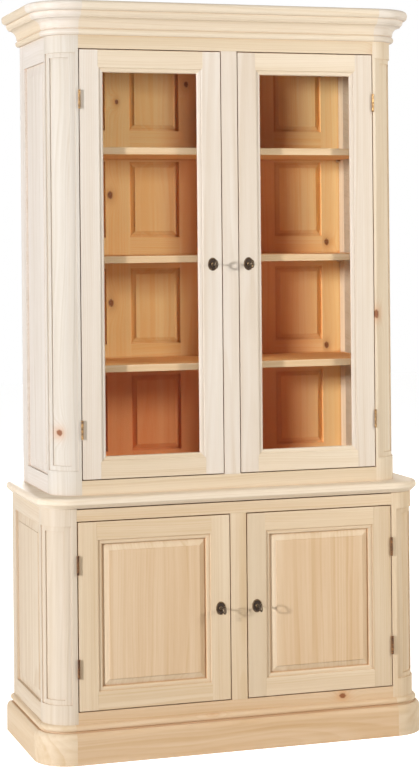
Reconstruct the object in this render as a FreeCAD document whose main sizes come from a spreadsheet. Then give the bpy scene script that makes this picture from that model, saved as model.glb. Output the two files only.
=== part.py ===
import FreeCAD, Part
import Sketcher
import math
import os
from types import SimpleNamespace

# Display cabinet in two cases. Millimetres, +Z up, front towards -Y.
# Origin: on the floor, in the middle of the footprint.

SIZES = {
    # Base case
    "base_width": 1135,
    "base_depth": 450,
    "base_height": 718,
    "base_post_width": 88.5,
    "base_bottom_rail": 33,
    "base_top_rail": 37,
    "base_rear_stile": 44,
    "base_side_top_rail": 50,
    "base_side_bottom_rail": 50,
    "base_shelf_height": 440,
    "base_shelf_setback": 70,
    "base_back_thickness": 12,
    "base_rail_foot": 60,
    "waist_shadow": 4,
    # Plinth moulding, from the floor up
    "plinth_projection": 22,
    "plinth_board": 70,
    "plinth_round_in": 10,
    "plinth_round_up": 18,
    "plinth_round_radius": 21,
    "plinth_quirk": 3,
    "plinth_bead": 17,
    "plinth_bead_foot": 4.5,
    "plinth_bead_slope": 2,
    # Board between the two cases
    "waist_thickness": 30,
    "waist_overhang": 17,
    "waist_round": 10,
    "waist_under": 12,
    # Upper case
    "upper_width": 1064,
    "upper_setback": 47,
    "upper_height": 1309,
    "upper_post_width": 81,
    "upper_bottom_rail": 41,
    "upper_top_rail": 38,
    "upper_rear_stile": 60,
    "upper_side_top_rail": 70,
    "upper_side_bottom_rail": 52,
    "case_rise": 80,
    # Cornice moulding, from the bottom up
    "cornice_bead_foot": 7,
    "cornice_bead": 18,
    "cornice_neck_out": 3,
    "cornice_neck": 4,
    "cornice_cove_out": 22,
    "cornice_cove": 26,
    "cornice_cove_radius": 26,
    "cornice_step_out": 2,
    "cornice_step": 2,
    "cornice_round_out": 7,
    "cornice_round": 16,
    "cornice_round_radius": 14,
    "cornice_lip_foot": 3,
    "cornice_lip_out": 11,
    "cornice_lip_low": 14,
    "cornice_lip_back": 7,
    "cornice_lip_high": 13,
    "cornice_lip_low_radius": 13,
    "cornice_lip_high_radius": 11,
    # Radius of a bead for each millimetre of its height
    "bead_fullness": 0.53,
    # Corner posts
    "corner_radius": 80,
    "post_arm": 40,
    "post_block_low": 55,
    "post_block_high": 50,
    "flute_angle": 6,
    "flute_depth": 4,
    "flute_border_angle": 15,
    "flute_border": 14,
    "flute_inner_depth": 4,
    # Boards, frames and their joints
    "frame_thickness": 22,
    "centre_stile_width": 48,
    "board_thickness": 20,
    "floor_stop": 6,
    "tenon_length": 20,
    "tenon_thickness": 8,
    "tenon_shoulder": 6,
    # Framed back and framed sides
    "back_thickness": 20,
    "back_outer_stile": 60,
    "back_inner_stile": 77,
    "back_bottom_rail": 79,
    "back_middle_rail": 96,
    "back_top_rail": 98,
    "panel_tongue": 8,
    "panel_tongue_thickness": 6,
    "panel_clearance": 0.5,
    "panel_step": 1.5,
    "side_panel_bevel": 30,
    "side_panel_rise": 4,
    "side_panel_sink": 8,
    "back_panel_quirk": 5,
    "back_panel_bevel": 17,
    "back_panel_rise": 6.5,
    "back_panel_sink": 10,
    # Shelves
    "shelf_thickness": 20,
    "shelf_setback": 45,
    "shelf_first": 1092,
    "shelf_pitch": 314,
    "shelf_clearance": 1,
    "peg_radius": 4,
    "peg_length": 12,
    "peg_depth": 12,
    "peg_inset": 62,
    # Doors
    "door_gap": 3,
    "door_stop_gap": 0.3,
    "glazed_stile": 53.5,
    "glazed_rail": 47.5,
    "panelled_stile": 54.5,
    "panelled_rail": 48.5,
    "sticking_width": 16.5,
    "sticking_step": 3.5,
    "sticking_bead": 4.5,
    "sticking_bead_round": 3,
    "sticking_lip": 7.5,
    "sticking_round": 6,
    "door_tenon_length": 36,
    "glass_thickness": 4,
    "glass_clearance": 1,
    "glazing_bead": 7,
    "door_panel_bevel": 19,
    "door_panel_thickness": 7,
    "door_panel_rise": 7,
    "door_panel_step": 2.5,
    # Butt hinges
    "hinge_height": 50,
    "hinge_knuckle_radius": 3.3,
    "hinge_end_knuckle": 15,
    "hinge_clearance": 0.3,
    "hinge_leaf_width": 20,
    "hinge_leaf_thickness": 1.3,
    "hinge_pin_radius": 1.6,
    "hinge_pin_fit": 0.05,
    "hinge_cap": 2,
    "upper_hinge_inset": 145,
    "base_hinge_inset": 123,
    # Locks and keys
    "upper_key_height": 1400,
    "base_key_height": 410,
    "key_inset": 28,
    "key_projection": 48,
    "key_ring_radius": 10.2,
    "key_ring_wire": 2,
    "key_shank_radius": 2.6,
    "key_fit": 0.1,
    "key_hole_clearance": 2,
    "key_collar_radius": 4,
    "key_collar": 3,
    "key_collar_gap": 1,
    "key_bit_reach": 8,
    "key_bit_width": 5,
    "key_bit_thickness": 2.4,
    "key_bit_start": 3,
    "escutcheon_width": 29,
    "escutcheon_height": 38,
    "escutcheon_dome": 3,
    "lock_width": 44,
    "lock_height": 52,
    "lock_depth": 14,
    "lock_wall": 1.5,
    "bolt_length": 32,
    "bolt_height": 10,
    "bolt_thickness": 5.5,
    "bolt_rise": 9.5,
    "bolt_start": 3,
    "bolt_fit": 0.1,
    "bolt_shy": 0.2,
}
# How close an edge lies to the place where it is looked for
NEAR = 0.01
SHELF_COUNT = 3
BACK_COLUMNS = 4
BACK_ROWS = 4


class Formula:
    """A length together with the sheet formula that it comes from."""

    def __init__(self, value, text):
        self.value = value
        self.text = text

    def __add__(self, other):
        other = formula(other)
        return Formula(self.value + other.value, f"({self.text} + {other.text})")

    def __sub__(self, other):
        other = formula(other)
        return Formula(self.value - other.value, f"({self.text} - {other.text})")

    def __mul__(self, other):
        other = formula(other)
        return Formula(self.value * other.value, f"({self.text} * {other.text})")

    def __truediv__(self, other):
        other = formula(other)
        return Formula(self.value / other.value, f"({self.text} / {other.text})")

    def __neg__(self):
        return Formula(-self.value, f"(-1 * {self.text})")

    def __radd__(self, other):
        return formula(other) + self

    def __rsub__(self, other):
        return formula(other) - self

    def __rmul__(self, other):
        return formula(other) * self


def formula(number):
    """A plain number as a formula."""
    if isinstance(number, Formula):
        return number
    return Formula(float(number), f"({number})")


doc = FreeCAD.newDocument("DisplayCabinet")
sheet = doc.addObject("Spreadsheet::Sheet", "Sizes")
for row, (alias, number) in enumerate(SIZES.items(), start=1):
    sheet.set(f"A{row}", alias)
    sheet.set(f"B{row}", str(number))
    sheet.setAlias(f"B{row}", alias)
doc.recompute()
size = SimpleNamespace(**{alias: Formula(number, f"Sizes.{alias}") for alias, number in SIZES.items()})

nodes = []


def node(label, item):
    """Name a finished sub-part."""
    item.Label = label
    nodes.append(item)
    return item


def bind(item, **formulas):
    """Tie properties of an object to their formulas."""
    for name, value in formulas.items():
        item.setExpression(name, formula(value).text)


def place(item, x, y, z, turn=0, axis=(0, 0, 1)):
    """Put an object's origin at a point, turned by a fixed angle about an axis."""
    item.Placement = FreeCAD.Placement(FreeCAD.Vector(), FreeCAD.Rotation(FreeCAD.Vector(*axis), turn))
    for letter, value in zip("xyz", (x, y, z)):
        item.setExpression(f"Placement.Base.{letter}", formula(value).text)
    return item


def box(name, corner, lengths, turn=0):
    """A board from its low corner and its three lengths."""
    item = doc.addObject("Part::Box", name)
    bind(item, Length=lengths[0], Width=lengths[1], Height=lengths[2])
    return place(item, *corner, turn=turn)


def span(name, x, y, z):
    """A board between two planes along each axis."""
    return box(name, (x[0], y[0], z[0]), (x[1] - x[0], y[1] - y[0], z[1] - z[0]))


def rod(name, centre, radius, length, turn=0, axis=(0, 0, 1)):
    """A round bar that starts at a point; its own axis is Z before it is turned."""
    item = doc.addObject("Part::Cylinder", name)
    bind(item, Radius=radius, Height=length)
    return place(item, *centre, turn=turn, axis=axis)


def fuse(name, *pieces):
    """One solid out of pieces that touch or overlap."""
    item = doc.addObject("Part::MultiFuse", name)
    item.Shapes = list(pieces)
    item.Refine = True
    return item


def cut(name, base, *tools):
    """A piece with each tool taken away in turn."""
    for number, tool in enumerate(tools, start=1):
        step = doc.addObject("Part::Cut", f"{name}_{number}")
        step.Base = base
        step.Tool = tool
        step.Refine = True
        base = step
    return base


def group(name, *pieces):
    """Separate solids kept together."""
    item = doc.addObject("Part::Compound", name)
    item.Links = list(pieces)
    return item


def mirror(name, piece, base=(0, 0, 0), normal=(1, 0, 0)):
    """The other hand of a piece, by default across the middle of the cabinet."""
    item = doc.addObject("Part::Mirroring", name)
    item.Source = piece
    item.Normal = FreeCAD.Vector(*normal)
    for letter, value in zip("xyz", base):
        item.setExpression(f"Base.{letter}", formula(value).text)
    return item


def pair(label, *pieces):
    """A node of left-hand pieces and their right-hand copies."""
    copies = [mirror(f"{label}_right_{number}", piece) for number, piece in enumerate(pieces)]
    return node(label, group(f"{label}_both", *pieces, *copies))


def hands(label, piece):
    """Two nodes, one for each hand: the label holds the word SIDE."""
    node(label.replace("SIDE", "right"), mirror(label.replace("SIDE", "right") + "_copy", piece))
    node(label.replace("SIDE", "left"), piece)


def origin_plane(body, role):
    """One of the body's own origin planes."""
    return next(plane for plane in body.Origin.OriginFeatures if plane.Role == role)


def arc_between(start, end, radius):
    """An arc from start to end; a positive radius turns left, a negative one right."""
    chord = end - start
    half = chord.Length / 2
    normal = FreeCAD.Vector(-chord.y, chord.x, 0).normalize()
    height = math.sqrt(radius * radius - half * half)
    middle = (start + end) * 0.5
    centre = middle + normal * math.copysign(height, radius)
    circle = Part.Circle(centre, FreeCAD.Vector(0, 0, 1), abs(radius))
    first, last = (start, end) if radius > 0 else (end, start)
    return Part.ArcOfCircle(
        circle,
        math.atan2(first.y - centre.y, first.x - centre.x),
        math.atan2(last.y - centre.y, last.x - centre.x),
    )


def tie(sketch, name, constraint, value):
    """Add a constraint and bind it to a formula."""
    number = sketch.addConstraint(constraint)
    sketch.renameConstraint(number, name)
    sketch.setExpression(f"Constraints.{name}", value.text)


def outline(body, name, plane, corners, offset=0):
    """A closed sketch. A corner is (x, y), or (x, y, radius) where an arc leads to it."""
    sketch = body.newObject("Sketcher::SketchObject", name)
    sketch.AttachmentSupport = [(origin_plane(body, plane), "")]
    sketch.MapMode = "FlatFace"
    sketch.setExpression("AttachmentOffset.Base.z", formula(offset).text)
    points = [tuple(formula(value) for value in corner) for corner in corners]
    spots = [FreeCAD.Vector(point[0].value, point[1].value, 0) for point in points]
    edges = []
    for number, point in enumerate(points):
        start, end = spots[number - 1], spots[number]
        if len(point) == 2:
            edges.append((sketch.addGeometry(Part.LineSegment(start, end)), 1, 2))
        elif point[2].value > 0:
            edges.append((sketch.addGeometry(arc_between(start, end, point[2].value)), 1, 2))
        else:
            edges.append((sketch.addGeometry(arc_between(start, end, point[2].value)), 2, 1))
    for number, point in enumerate(points):
        edge, first, last = edges[number]
        before, _, before_last = edges[number - 1]
        sketch.addConstraint(Sketcher.Constraint("Coincident", before, before_last, edge, first))
        if len(point) == 3:
            radius = point[2] if point[2].value > 0 else -point[2]
            tie(sketch, f"radius{number}", Sketcher.Constraint("Radius", edge, radius.value), radius)
        across = Sketcher.Constraint("DistanceX", -1, 1, edge, last, point[0].value)
        tie(sketch, f"across{number}", across, point[0])
        upward = Sketcher.Constraint("DistanceY", -1, 1, edge, last, point[1].value)
        tie(sketch, f"upward{number}", upward, point[1])
    return sketch


def pad(body, sketch, length):
    """Raise a sketch by a length."""
    item = body.newObject("PartDesign::Pad", sketch.Name + "_pad")
    item.Profile = sketch
    bind(item, Length=length)
    body.Tip = item
    doc.recompute()
    return item


def edges_where(feature, test):
    """Names of the edges whose middle passes the test."""
    return [f"Edge{number}" for number, edge in enumerate(feature.Shape.Edges, start=1)
            if test(edge.CenterOfMass)]


# Planes of the two cases
y_back = (size.base_depth + size.key_projection) / 2
y_base = y_back - size.base_depth
y_upper = y_base + size.upper_setback
base_half = size.base_width / 2
upper_half = size.upper_width / 2
base_side = base_half - size.base_post_width
upper_side = upper_half - size.upper_post_width
centre_half = size.centre_stile_width / 2
plinth_height = (size.plinth_board + size.plinth_round_up + size.plinth_quirk
                 + size.plinth_bead + size.plinth_bead_slope)
z_upper = size.base_height + size.waist_thickness
z_cornice = z_upper + size.upper_height
z_case = z_cornice + size.case_rise
base_sill = plinth_height + size.base_bottom_rail
base_head = size.base_height - size.base_top_rail
upper_sill = z_upper + size.upper_bottom_rail
upper_head = z_cornice - size.upper_top_rail


# Mouldings that go round the front and the two sides

def moulding(name, profile, half_width, y_front, z_low):
    """Front length, left length and left corner of one moulding; profile is (outward, upward)."""
    front = doc.addObject("PartDesign::Body", f"{name}_front_body")
    length = 2 * (half_width - size.corner_radius)
    pad(front, outline(front, f"{name}_front_profile", "YZ_Plane", profile), length)
    place(front, half_width - size.corner_radius, y_front, z_low, turn=180)
    left = doc.addObject("PartDesign::Body", f"{name}_side_body")
    run = y_back - y_front - size.corner_radius
    pad(left, outline(left, f"{name}_side_profile", "YZ_Plane", profile), run)
    place(left, -half_width, y_front + size.corner_radius, z_low, turn=90)
    corner = doc.addObject("PartDesign::Body", f"{name}_corner_body")
    swung = [(size.corner_radius + point[0], *point[1:]) for point in profile]
    sketch = outline(corner, f"{name}_corner_profile", "XZ_Plane", swung)
    turned = corner.newObject("PartDesign::Revolution", f"{name}_corner_turn")
    turned.Profile = sketch
    turned.ReferenceAxis = (sketch, ["V_Axis"])
    turned.Midplane = True
    turned.Angle = 90
    corner.Tip = turned
    place(corner, size.corner_radius - half_width, y_front + size.corner_radius, z_low, turn=225)
    return front, left, corner


bead_foot = size.plinth_board + size.plinth_round_up + size.plinth_quirk
plinth_profile = [
    (0, 0),
    (size.plinth_projection, 0),
    (size.plinth_projection, size.plinth_board),
    (size.plinth_projection - size.plinth_round_in, size.plinth_board + size.plinth_round_up,
     size.plinth_round_radius),
    (size.plinth_bead_foot, size.plinth_board + size.plinth_round_up),
    (size.plinth_bead_foot, bead_foot),
    (size.plinth_bead_foot, bead_foot + size.plinth_bead, size.plinth_bead * size.bead_fullness),
    (0, plinth_height),
]
plinth_front, plinth_left, plinth_corner = moulding("plinth", plinth_profile, base_half, y_base, 0)
node("plinth_front", plinth_front)
pair("plinth_sides", plinth_left)
pair("plinth_corners", plinth_corner)

neck_out = size.cornice_bead_foot + size.cornice_neck_out
cove_foot = size.cornice_bead + size.cornice_neck
cove_head = cove_foot + size.cornice_cove
cove_out = neck_out + size.cornice_cove_out
round_foot = cove_head + size.cornice_step
round_head = round_foot + size.cornice_round
step_out = cove_out + size.cornice_step_out
round_out = step_out + size.cornice_round_out
lip_foot = round_out + size.cornice_lip_foot
lip_tip = lip_foot + size.cornice_lip_out
lip_middle = round_head + size.cornice_lip_low
cornice_height = lip_middle + size.cornice_lip_high
cornice_profile = [
    (0, 0),
    (size.cornice_bead_foot, 0),
    (size.cornice_bead_foot, size.cornice_bead, size.cornice_bead * size.bead_fullness),
    (neck_out, cove_foot),
    (cove_out, cove_head, -size.cornice_cove_radius),
    (step_out, cove_head),
    (step_out, round_foot),
    (round_out, round_head, size.cornice_round_radius),
    (lip_foot, round_head),
    (lip_tip, lip_middle, size.cornice_lip_low_radius),
    (lip_tip - size.cornice_lip_back, cornice_height, size.cornice_lip_high_radius),
    (0, cornice_height),
]
cornice_front, cornice_left, cornice_corner = moulding("cornice", cornice_profile, upper_half, y_upper,
                                                       z_cornice)
node("cornice_front", cornice_front)
pair("cornice_sides", cornice_left)
pair("cornice_corners", cornice_corner)


# Board between the cases, with its rounded front corners

def waist_board():
    """A board with a round upper edge and a slanted underside along the front and the sides."""
    body = doc.addObject("PartDesign::Body", "waist_body")
    reach = base_half + size.waist_overhang
    radius = size.corner_radius + size.waist_overhang
    front = y_base - size.waist_overhang
    corners = [
        (reach, y_back),
        (-reach, y_back),
        (-reach, front + radius),
        (radius - reach, front, radius),
        (reach - radius, front),
        (reach, front + radius, radius),
    ]
    slab = pad(body, outline(body, "waist_outline", "XY_Plane", corners), size.waist_thickness)
    thickness = size.waist_thickness.value
    behind = y_back.value - NEAR
    soft = body.newObject("PartDesign::Fillet", "waist_soft_edge")
    soft.Base = (slab, edges_where(slab, lambda spot: spot.z > thickness - NEAR and spot.y < behind))
    bind(soft, Radius=size.waist_round)
    body.Tip = soft
    doc.recompute()
    slanted = body.newObject("PartDesign::Chamfer", "waist_slant")
    slanted.Base = (soft, edges_where(soft, lambda spot: spot.z < NEAR and spot.y < behind))
    bind(slanted, Size=size.waist_under)
    body.Tip = slanted
    return place(body, 0, 0, size.base_height)


node("waist_board", waist_board())


# Rails and stiles with a tenon at each end

def tenoned(name, along, thick, low, high, tenon_length):
    """A board and its two tenons; along and thick number the axes of its grain and its thickness."""
    across = 3 - along - thick
    blank = span(f"{name}_blank", *zip(low, high))
    tenons = []
    for end in range(2):
        near = list(low)
        far = list(high)
        middle = (low[thick] + high[thick]) / 2
        near[thick] = middle - size.tenon_thickness / 2
        far[thick] = middle + size.tenon_thickness / 2
        near[across] = low[across] + size.tenon_shoulder
        far[across] = high[across] - size.tenon_shoulder
        if end == 0:
            near[along] = low[along] - tenon_length
            far[along] = low[along]
        else:
            near[along] = high[along]
            far[along] = high[along] + tenon_length
        tenons.append(span(f"{name}_tenon_{end}", *zip(near, far)))
    return fuse(f"{name}_tenoned", blank, *tenons), tenons


def front_frame(prefix, side, y_front, levels):
    """Bottom rail, top rail and centre stile between the posts of one case."""
    y_rear = y_front + size.frame_thickness
    foot, sill, head, top = levels
    low, low_tenons = tenoned(f"{prefix}_bottom_rail", 0, 1, (-side, y_front, foot), (side, y_rear, sill),
                              size.tenon_length)
    high, high_tenons = tenoned(f"{prefix}_top_rail", 0, 1, (-side, y_front, head), (side, y_rear, top),
                                size.tenon_length)
    stile, stile_tenons = tenoned(f"{prefix}_centre_stile", 2, 1, (-centre_half, y_front, sill),
                                  (centre_half, y_rear, head), size.tenon_length)
    node(f"{prefix}_bottom_rail", cut(f"{prefix}_bottom_rail_mortised", low, stile_tenons[0]))
    node(f"{prefix}_top_rail", cut(f"{prefix}_top_rail_mortised", high, stile_tenons[1]))
    node(f"{prefix}_centre_stile", stile)
    return [low_tenons[0], high_tenons[0]]


base_tenons = front_frame("base", base_side, y_base,
                          (size.base_rail_foot, base_sill, base_head, size.base_height - size.waist_shadow))
upper_tenons = front_frame("upper", upper_side, y_upper, (z_upper, upper_sill, upper_head, z_case))


# Raised panels

def turned_spot(x, y, local_x, local_y, turn):
    """A point of a panel's own plan, turned by 90 or 180 degrees and moved to its place."""
    if turn == 180:
        return x - local_x, y - local_y
    return x - local_y, y + local_x


def panel(name, spot, lengths, relief, tongue, thickness, turn):
    """A tongue all round, a slanted margin and a flat field; spot is the middle of its foot.

    Relief is how far in from the edge the margin starts and ends, its rise, and the step up to the field.
    """
    x, y, z = spot
    width, height = lengths
    quirk, bevel, rise, step = relief
    reach = tongue - size.panel_clearance
    plate = box(f"{name}_tongue", (*turned_spot(x, y, -(width / 2) - reach, -thickness, turn), z - reach),
                (width + 2 * reach, thickness, height + 2 * reach), turn)
    margin = doc.addObject("Part::Wedge", f"{name}_margin")
    bind(margin, Xmin=quirk - width / 2, Xmax=width / 2 - quirk, Ymin=0, Ymax=rise,
         Zmin=quirk, Zmax=height - quirk, X2min=bevel - width / 2, X2max=width / 2 - bevel,
         Z2min=bevel, Z2max=height - bevel)
    place(margin, x, y, z, turn=turn)
    field = box(f"{name}_field", (*turned_spot(x, y, bevel - width / 2, rise, turn), z + bevel),
                (width - 2 * bevel, step, height - 2 * bevel), turn)
    return fuse(f"{name}_raised", plate, margin, field)


def panel_groove(name, spot, lengths, tongue, thickness, turn):
    """The room that the frame leaves for a panel's tongue."""
    x, y, z = spot
    width, height = lengths
    return box(name, (*turned_spot(x, y, -(width / 2) - tongue, -thickness, turn), z - tongue),
               (width + 2 * tongue, thickness, height + 2 * tongue), turn)


# Shelf pegs of the left side; the shelves rest on them

def peg_row(prefix, y_front, rear_stile, inner, undersides):
    """Two pegs under each shelf, one in the post and one in the rear stile."""
    pegs = []
    for number, underside in enumerate(undersides):
        for end, y in enumerate((y_front + size.peg_inset, y_back - rear_stile / 2)):
            spot = (-inner - size.peg_depth, y, underside - size.peg_radius)
            pegs.append(rod(f"{prefix}_peg_{number}_{end}", spot, size.peg_radius,
                            size.peg_depth + size.peg_length, turn=90, axis=(0, 1, 0)))
    return pegs


base_inner = base_half - size.post_arm
upper_inner = upper_half - size.post_arm
shelf_undersides = [size.shelf_first + number * size.shelf_pitch for number in range(SHELF_COUNT)]
base_pegs = peg_row("base", y_base, size.base_rear_stile, base_inner, [size.base_shelf_height])
upper_pegs = peg_row("upper", y_upper, size.upper_rear_stile, upper_inner, shelf_undersides)
pair("shelf_pegs", *base_pegs, *upper_pegs)


# Corner posts

def flute(name, centre, z_low, z_high, angle, radius, depth):
    """A ring-shaped bite out of a rounded corner between two levels."""
    outer = rod(f"{name}_outer", (*centre, z_low), radius + size.flute_depth, z_high - z_low)
    bind(outer, Angle=90 - 2 * angle)
    outer.setExpression("Placement.Rotation.Angle", (180 + angle).text)
    inner = rod(f"{name}_inner", (*centre, z_low), radius - depth, z_high - z_low)
    return cut(name, outer, inner)


def corner_post(prefix, half_width, width, y_front, levels, shaft, tools):
    """A rounded post of two arms, with a sunk shaft between its plain blocks."""
    z_low, z_high = levels
    radius = size.corner_radius
    height = z_high - z_low
    centre = (radius - half_width, y_front + radius)
    blank = box(f"{prefix}_post_blank", (-half_width, y_front, z_low), (width, width, height))
    hollow = box(f"{prefix}_post_hollow", (size.post_arm - half_width, y_front + size.post_arm, z_low),
                 (width - size.post_arm, width - size.post_arm, height))
    square = box(f"{prefix}_post_square", (-half_width, y_front, z_low), (radius, radius, height))
    waste = cut(f"{prefix}_post_waste", square, rod(f"{prefix}_post_core", (*centre, z_low), radius, height))
    wide = flute(f"{prefix}_flute_wide", centre, shaft[0], shaft[1], size.flute_angle, radius,
                 size.flute_depth)
    deep = flute(f"{prefix}_flute_deep", centre, shaft[0] + size.flute_border, shaft[1] - size.flute_border,
                 size.flute_angle + size.flute_border_angle, radius,
                 size.flute_depth + size.flute_inner_depth)
    return cut(f"{prefix}_post_shaped", blank, hollow, waste, wide, deep, *tools)


# Framed sides: two rails between the post and the rear stile, round a raised panel

def framed_side(prefix, half_width, post_width, y_front, rear_stile, levels, pegs, post_tools, shaft):
    """The left side of one case with its post."""
    foot, low, high, top, post_foot = levels
    y_post = y_front + post_width
    y_stile = y_back - rear_stile
    outer = -half_width
    inner = size.frame_thickness - half_width
    low_rail, low_tenons = tenoned(f"{prefix}_side_low", 1, 0, (outer, y_post, foot), (inner, y_stile, low),
                                   size.tenon_length)
    high_rail, high_tenons = tenoned(f"{prefix}_side_high", 1, 0,
                                     (outer, y_post, high), (inner, y_stile, top),
                                     size.tenon_length)
    spot = (outer + size.side_panel_sink, (y_post + y_stile) / 2, low)
    lengths = (y_stile - y_post, high - low)
    tongue = (size.panel_tongue, size.panel_tongue_thickness)
    relief = (size.panel_clearance, size.side_panel_bevel, size.side_panel_rise, size.panel_step)
    field = panel(f"{prefix}_side", spot, lengths, relief, *tongue, 90)
    groove = panel_groove(f"{prefix}_side_groove", spot, lengths, *tongue, 90)
    stile = span(f"{prefix}_rear_stile", (outer, size.post_arm - half_width), (y_stile, y_back),
                 (post_foot, top))
    stile = cut(f"{prefix}_rear_stile_cut", stile, groove, low_tenons[1], high_tenons[1], *pegs[1::2])
    post = corner_post(prefix, half_width, post_width, y_front, (post_foot, top), shaft,
                       [groove, low_tenons[0], high_tenons[0], *post_tools, *pegs[0::2]])
    pair(f"{prefix}_corner_posts", post)
    pair(f"{prefix}_side_frames", stile, cut(f"{prefix}_side_low_grooved", low_rail, groove),
         cut(f"{prefix}_side_high_grooved", high_rail, groove))
    pair(f"{prefix}_side_panels", field)


framed_side("base", base_half, size.base_post_width, y_base, size.base_rear_stile,
            (size.base_rail_foot, plinth_height + size.base_side_bottom_rail,
             size.base_height - size.base_side_top_rail, size.base_height, formula(0)),
            base_pegs, base_tenons,
            (plinth_height + size.post_block_low, size.base_height - size.post_block_high))
framed_side("upper", upper_half, size.upper_post_width, y_upper, size.upper_rear_stile,
            (z_upper, z_upper + size.upper_side_bottom_rail, z_cornice - size.upper_side_top_rail, z_case,
             z_upper),
            upper_pegs, upper_tenons,
            (z_upper + size.post_block_low + size.flute_border, z_cornice - size.post_block_high))


# Floors, top and shelves

def notched_board(name, half_width, post_width, y_front, y_rear, rear_stile, z_low):
    """A board that fills the case between the front frame, the posts, the side rails and the rear stiles."""
    z = (z_low, z_low + size.board_thickness)
    inner = half_width - size.post_arm
    side = half_width - post_width
    between = half_width - size.frame_thickness
    wide = span(f"{name}_wide", (-inner, inner), (y_front + size.post_arm, y_rear), z)
    tongue = span(f"{name}_front", (-side, side),
                  (y_front + size.frame_thickness, y_front + size.post_arm), z)
    ears = span(f"{name}_ears", (-between, between), (y_front + post_width, y_back - rear_stile), z)
    return node(name, fuse(f"{name}_board", wide, tongue, ears))


y_base_back = y_back - size.base_back_thickness
y_upper_back = y_back - size.back_thickness
base_case = (base_half, size.base_post_width, y_base, y_base_back, size.base_rear_stile)
upper_case = (upper_half, size.upper_post_width, y_upper, y_upper_back, size.upper_rear_stile)
notched_board("base_floor", *base_case, base_sill + size.floor_stop - size.board_thickness)
notched_board("upper_floor", *upper_case, upper_sill + size.floor_stop - size.board_thickness)
notched_board("upper_top", *upper_case, z_case - size.board_thickness)
node("base_back", span("base_back_board", (-base_inner, base_inner), (y_base_back, y_back),
                       (size.base_rail_foot, size.base_height)))


def shelf(name, inner, y_front, y_rear, underside):
    """A loose shelf on its pegs."""
    half = inner - size.shelf_clearance
    return span(name, (-half, half), (y_front, y_rear - size.shelf_clearance),
                (underside, underside + size.shelf_thickness))


node("base_shelf", shelf("base_shelf_board", base_inner, y_base + size.base_shelf_setback, y_base_back,
                         size.base_shelf_height))
node("shelves", group("shelf_boards", *[
    shelf(f"shelf_board_{number}", upper_inner, y_upper + size.shelf_setback, y_upper_back, underside)
    for number, underside in enumerate(shelf_undersides)]))


# Framed back of the upper case

def framed_back():
    """Stiles from floor to top, short rails between them and a raised panel in each opening."""
    inner_stiles = BACK_COLUMNS - 1
    free = 2 * upper_inner - 2 * size.back_outer_stile - inner_stiles * size.back_inner_stile
    width = free / BACK_COLUMNS
    low = z_upper + size.back_bottom_rail
    high = z_case - size.back_top_rail
    height = (high - low - (BACK_ROWS - 1) * size.back_middle_rail) / BACK_ROWS
    lefts = [size.back_outer_stile - upper_inner + column * (width + size.back_inner_stile)
             for column in range(BACK_COLUMNS)]
    feet = [low + row * (height + size.back_middle_rail) for row in range(BACK_ROWS)]
    y = (y_upper_back, y_back)
    stiles = [span("back_stile_0", (-upper_inner, lefts[0]), y, (z_upper, z_case))]
    for column in range(BACK_COLUMNS):
        right = lefts[column + 1] if column < inner_stiles else upper_inner
        stiles.append(span(f"back_stile_{column + 1}", (lefts[column] + width, right), y, (z_upper, z_case)))
    rails = []
    panels = []
    grooves = []
    tongue = (size.panel_tongue, size.panel_tongue_thickness)
    relief = (size.back_panel_quirk, size.back_panel_bevel, size.back_panel_rise, size.panel_step)
    for column, left in enumerate(lefts):
        across = (left, left + width)
        for row in range(BACK_ROWS + 1):
            name = f"{column}_{row}"
            under = z_upper if row == 0 else feet[row - 1] + height
            over = z_case if row == BACK_ROWS else feet[row]
            rails.append(span(f"back_rail_{name}", across, y, (under, over)))
        for row, foot in enumerate(feet):
            name = f"back_{column}_{row}"
            spot = (left + width / 2, y_upper_back + size.back_panel_sink, foot)
            panels.append(panel(name, spot, (width, height), relief, *tongue, 180))
            grooves.append(panel_groove(f"{name}_groove", spot, (width, height), *tongue, 180))
    room = group("back_grooves", *grooves)
    stiles = cut("back_stiles_grooved", group("back_stiles", *stiles), room)
    rails = cut("back_rails_grooved", group("back_rails", *rails), room)
    node("back_frame", group("back_stiles_and_rails", stiles, rails))
    node("back_panels", group("back_panel_set", *panels))


framed_back()


# Doors

def door_member(name, length, flat, mitre, thickness):
    """A stile or rail along Z with a moulded inner edge, mitred where the next member's begins."""
    body = doc.addObject("PartDesign::Body", f"{name}_body")
    lip_face = thickness - size.sticking_step

    def strip(part, width, foot, height):
        corners = [
            (flat, mitre),
            (flat + width, mitre + width),
            (flat + width, length - mitre - width),
            (flat, length - mitre),
        ]
        return pad(body, outline(body, f"{name}_{part}", "XZ_Plane", corners, offset=foot), height)

    def rounded(part, whole, width, face, radius):
        edge_x = flat.value + width.value
        edge = body.newObject("PartDesign::Fillet", f"{name}_{part}")
        edge.Base = (whole, edges_where(whole, lambda spot: abs(spot.x - edge_x) < NEAR
                                        and abs(spot.y + face.value) < NEAR))
        bind(edge, Radius=radius)
        body.Tip = edge
        doc.recompute()
        return edge

    strip("lip", size.sticking_width, lip_face - size.sticking_lip, size.sticking_lip)
    strip("bead", size.sticking_bead, lip_face, size.sticking_step)
    plank = outline(body, f"{name}_plank", "XZ_Plane", [(0, 0), (flat, 0), (flat, length), (0, length)])
    whole = pad(body, plank, thickness)
    whole = rounded("lip_round", whole, size.sticking_width, lip_face, size.sticking_round)
    rounded("bead_round", whole, size.sticking_bead, thickness, size.sticking_bead_round)
    return body


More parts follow.
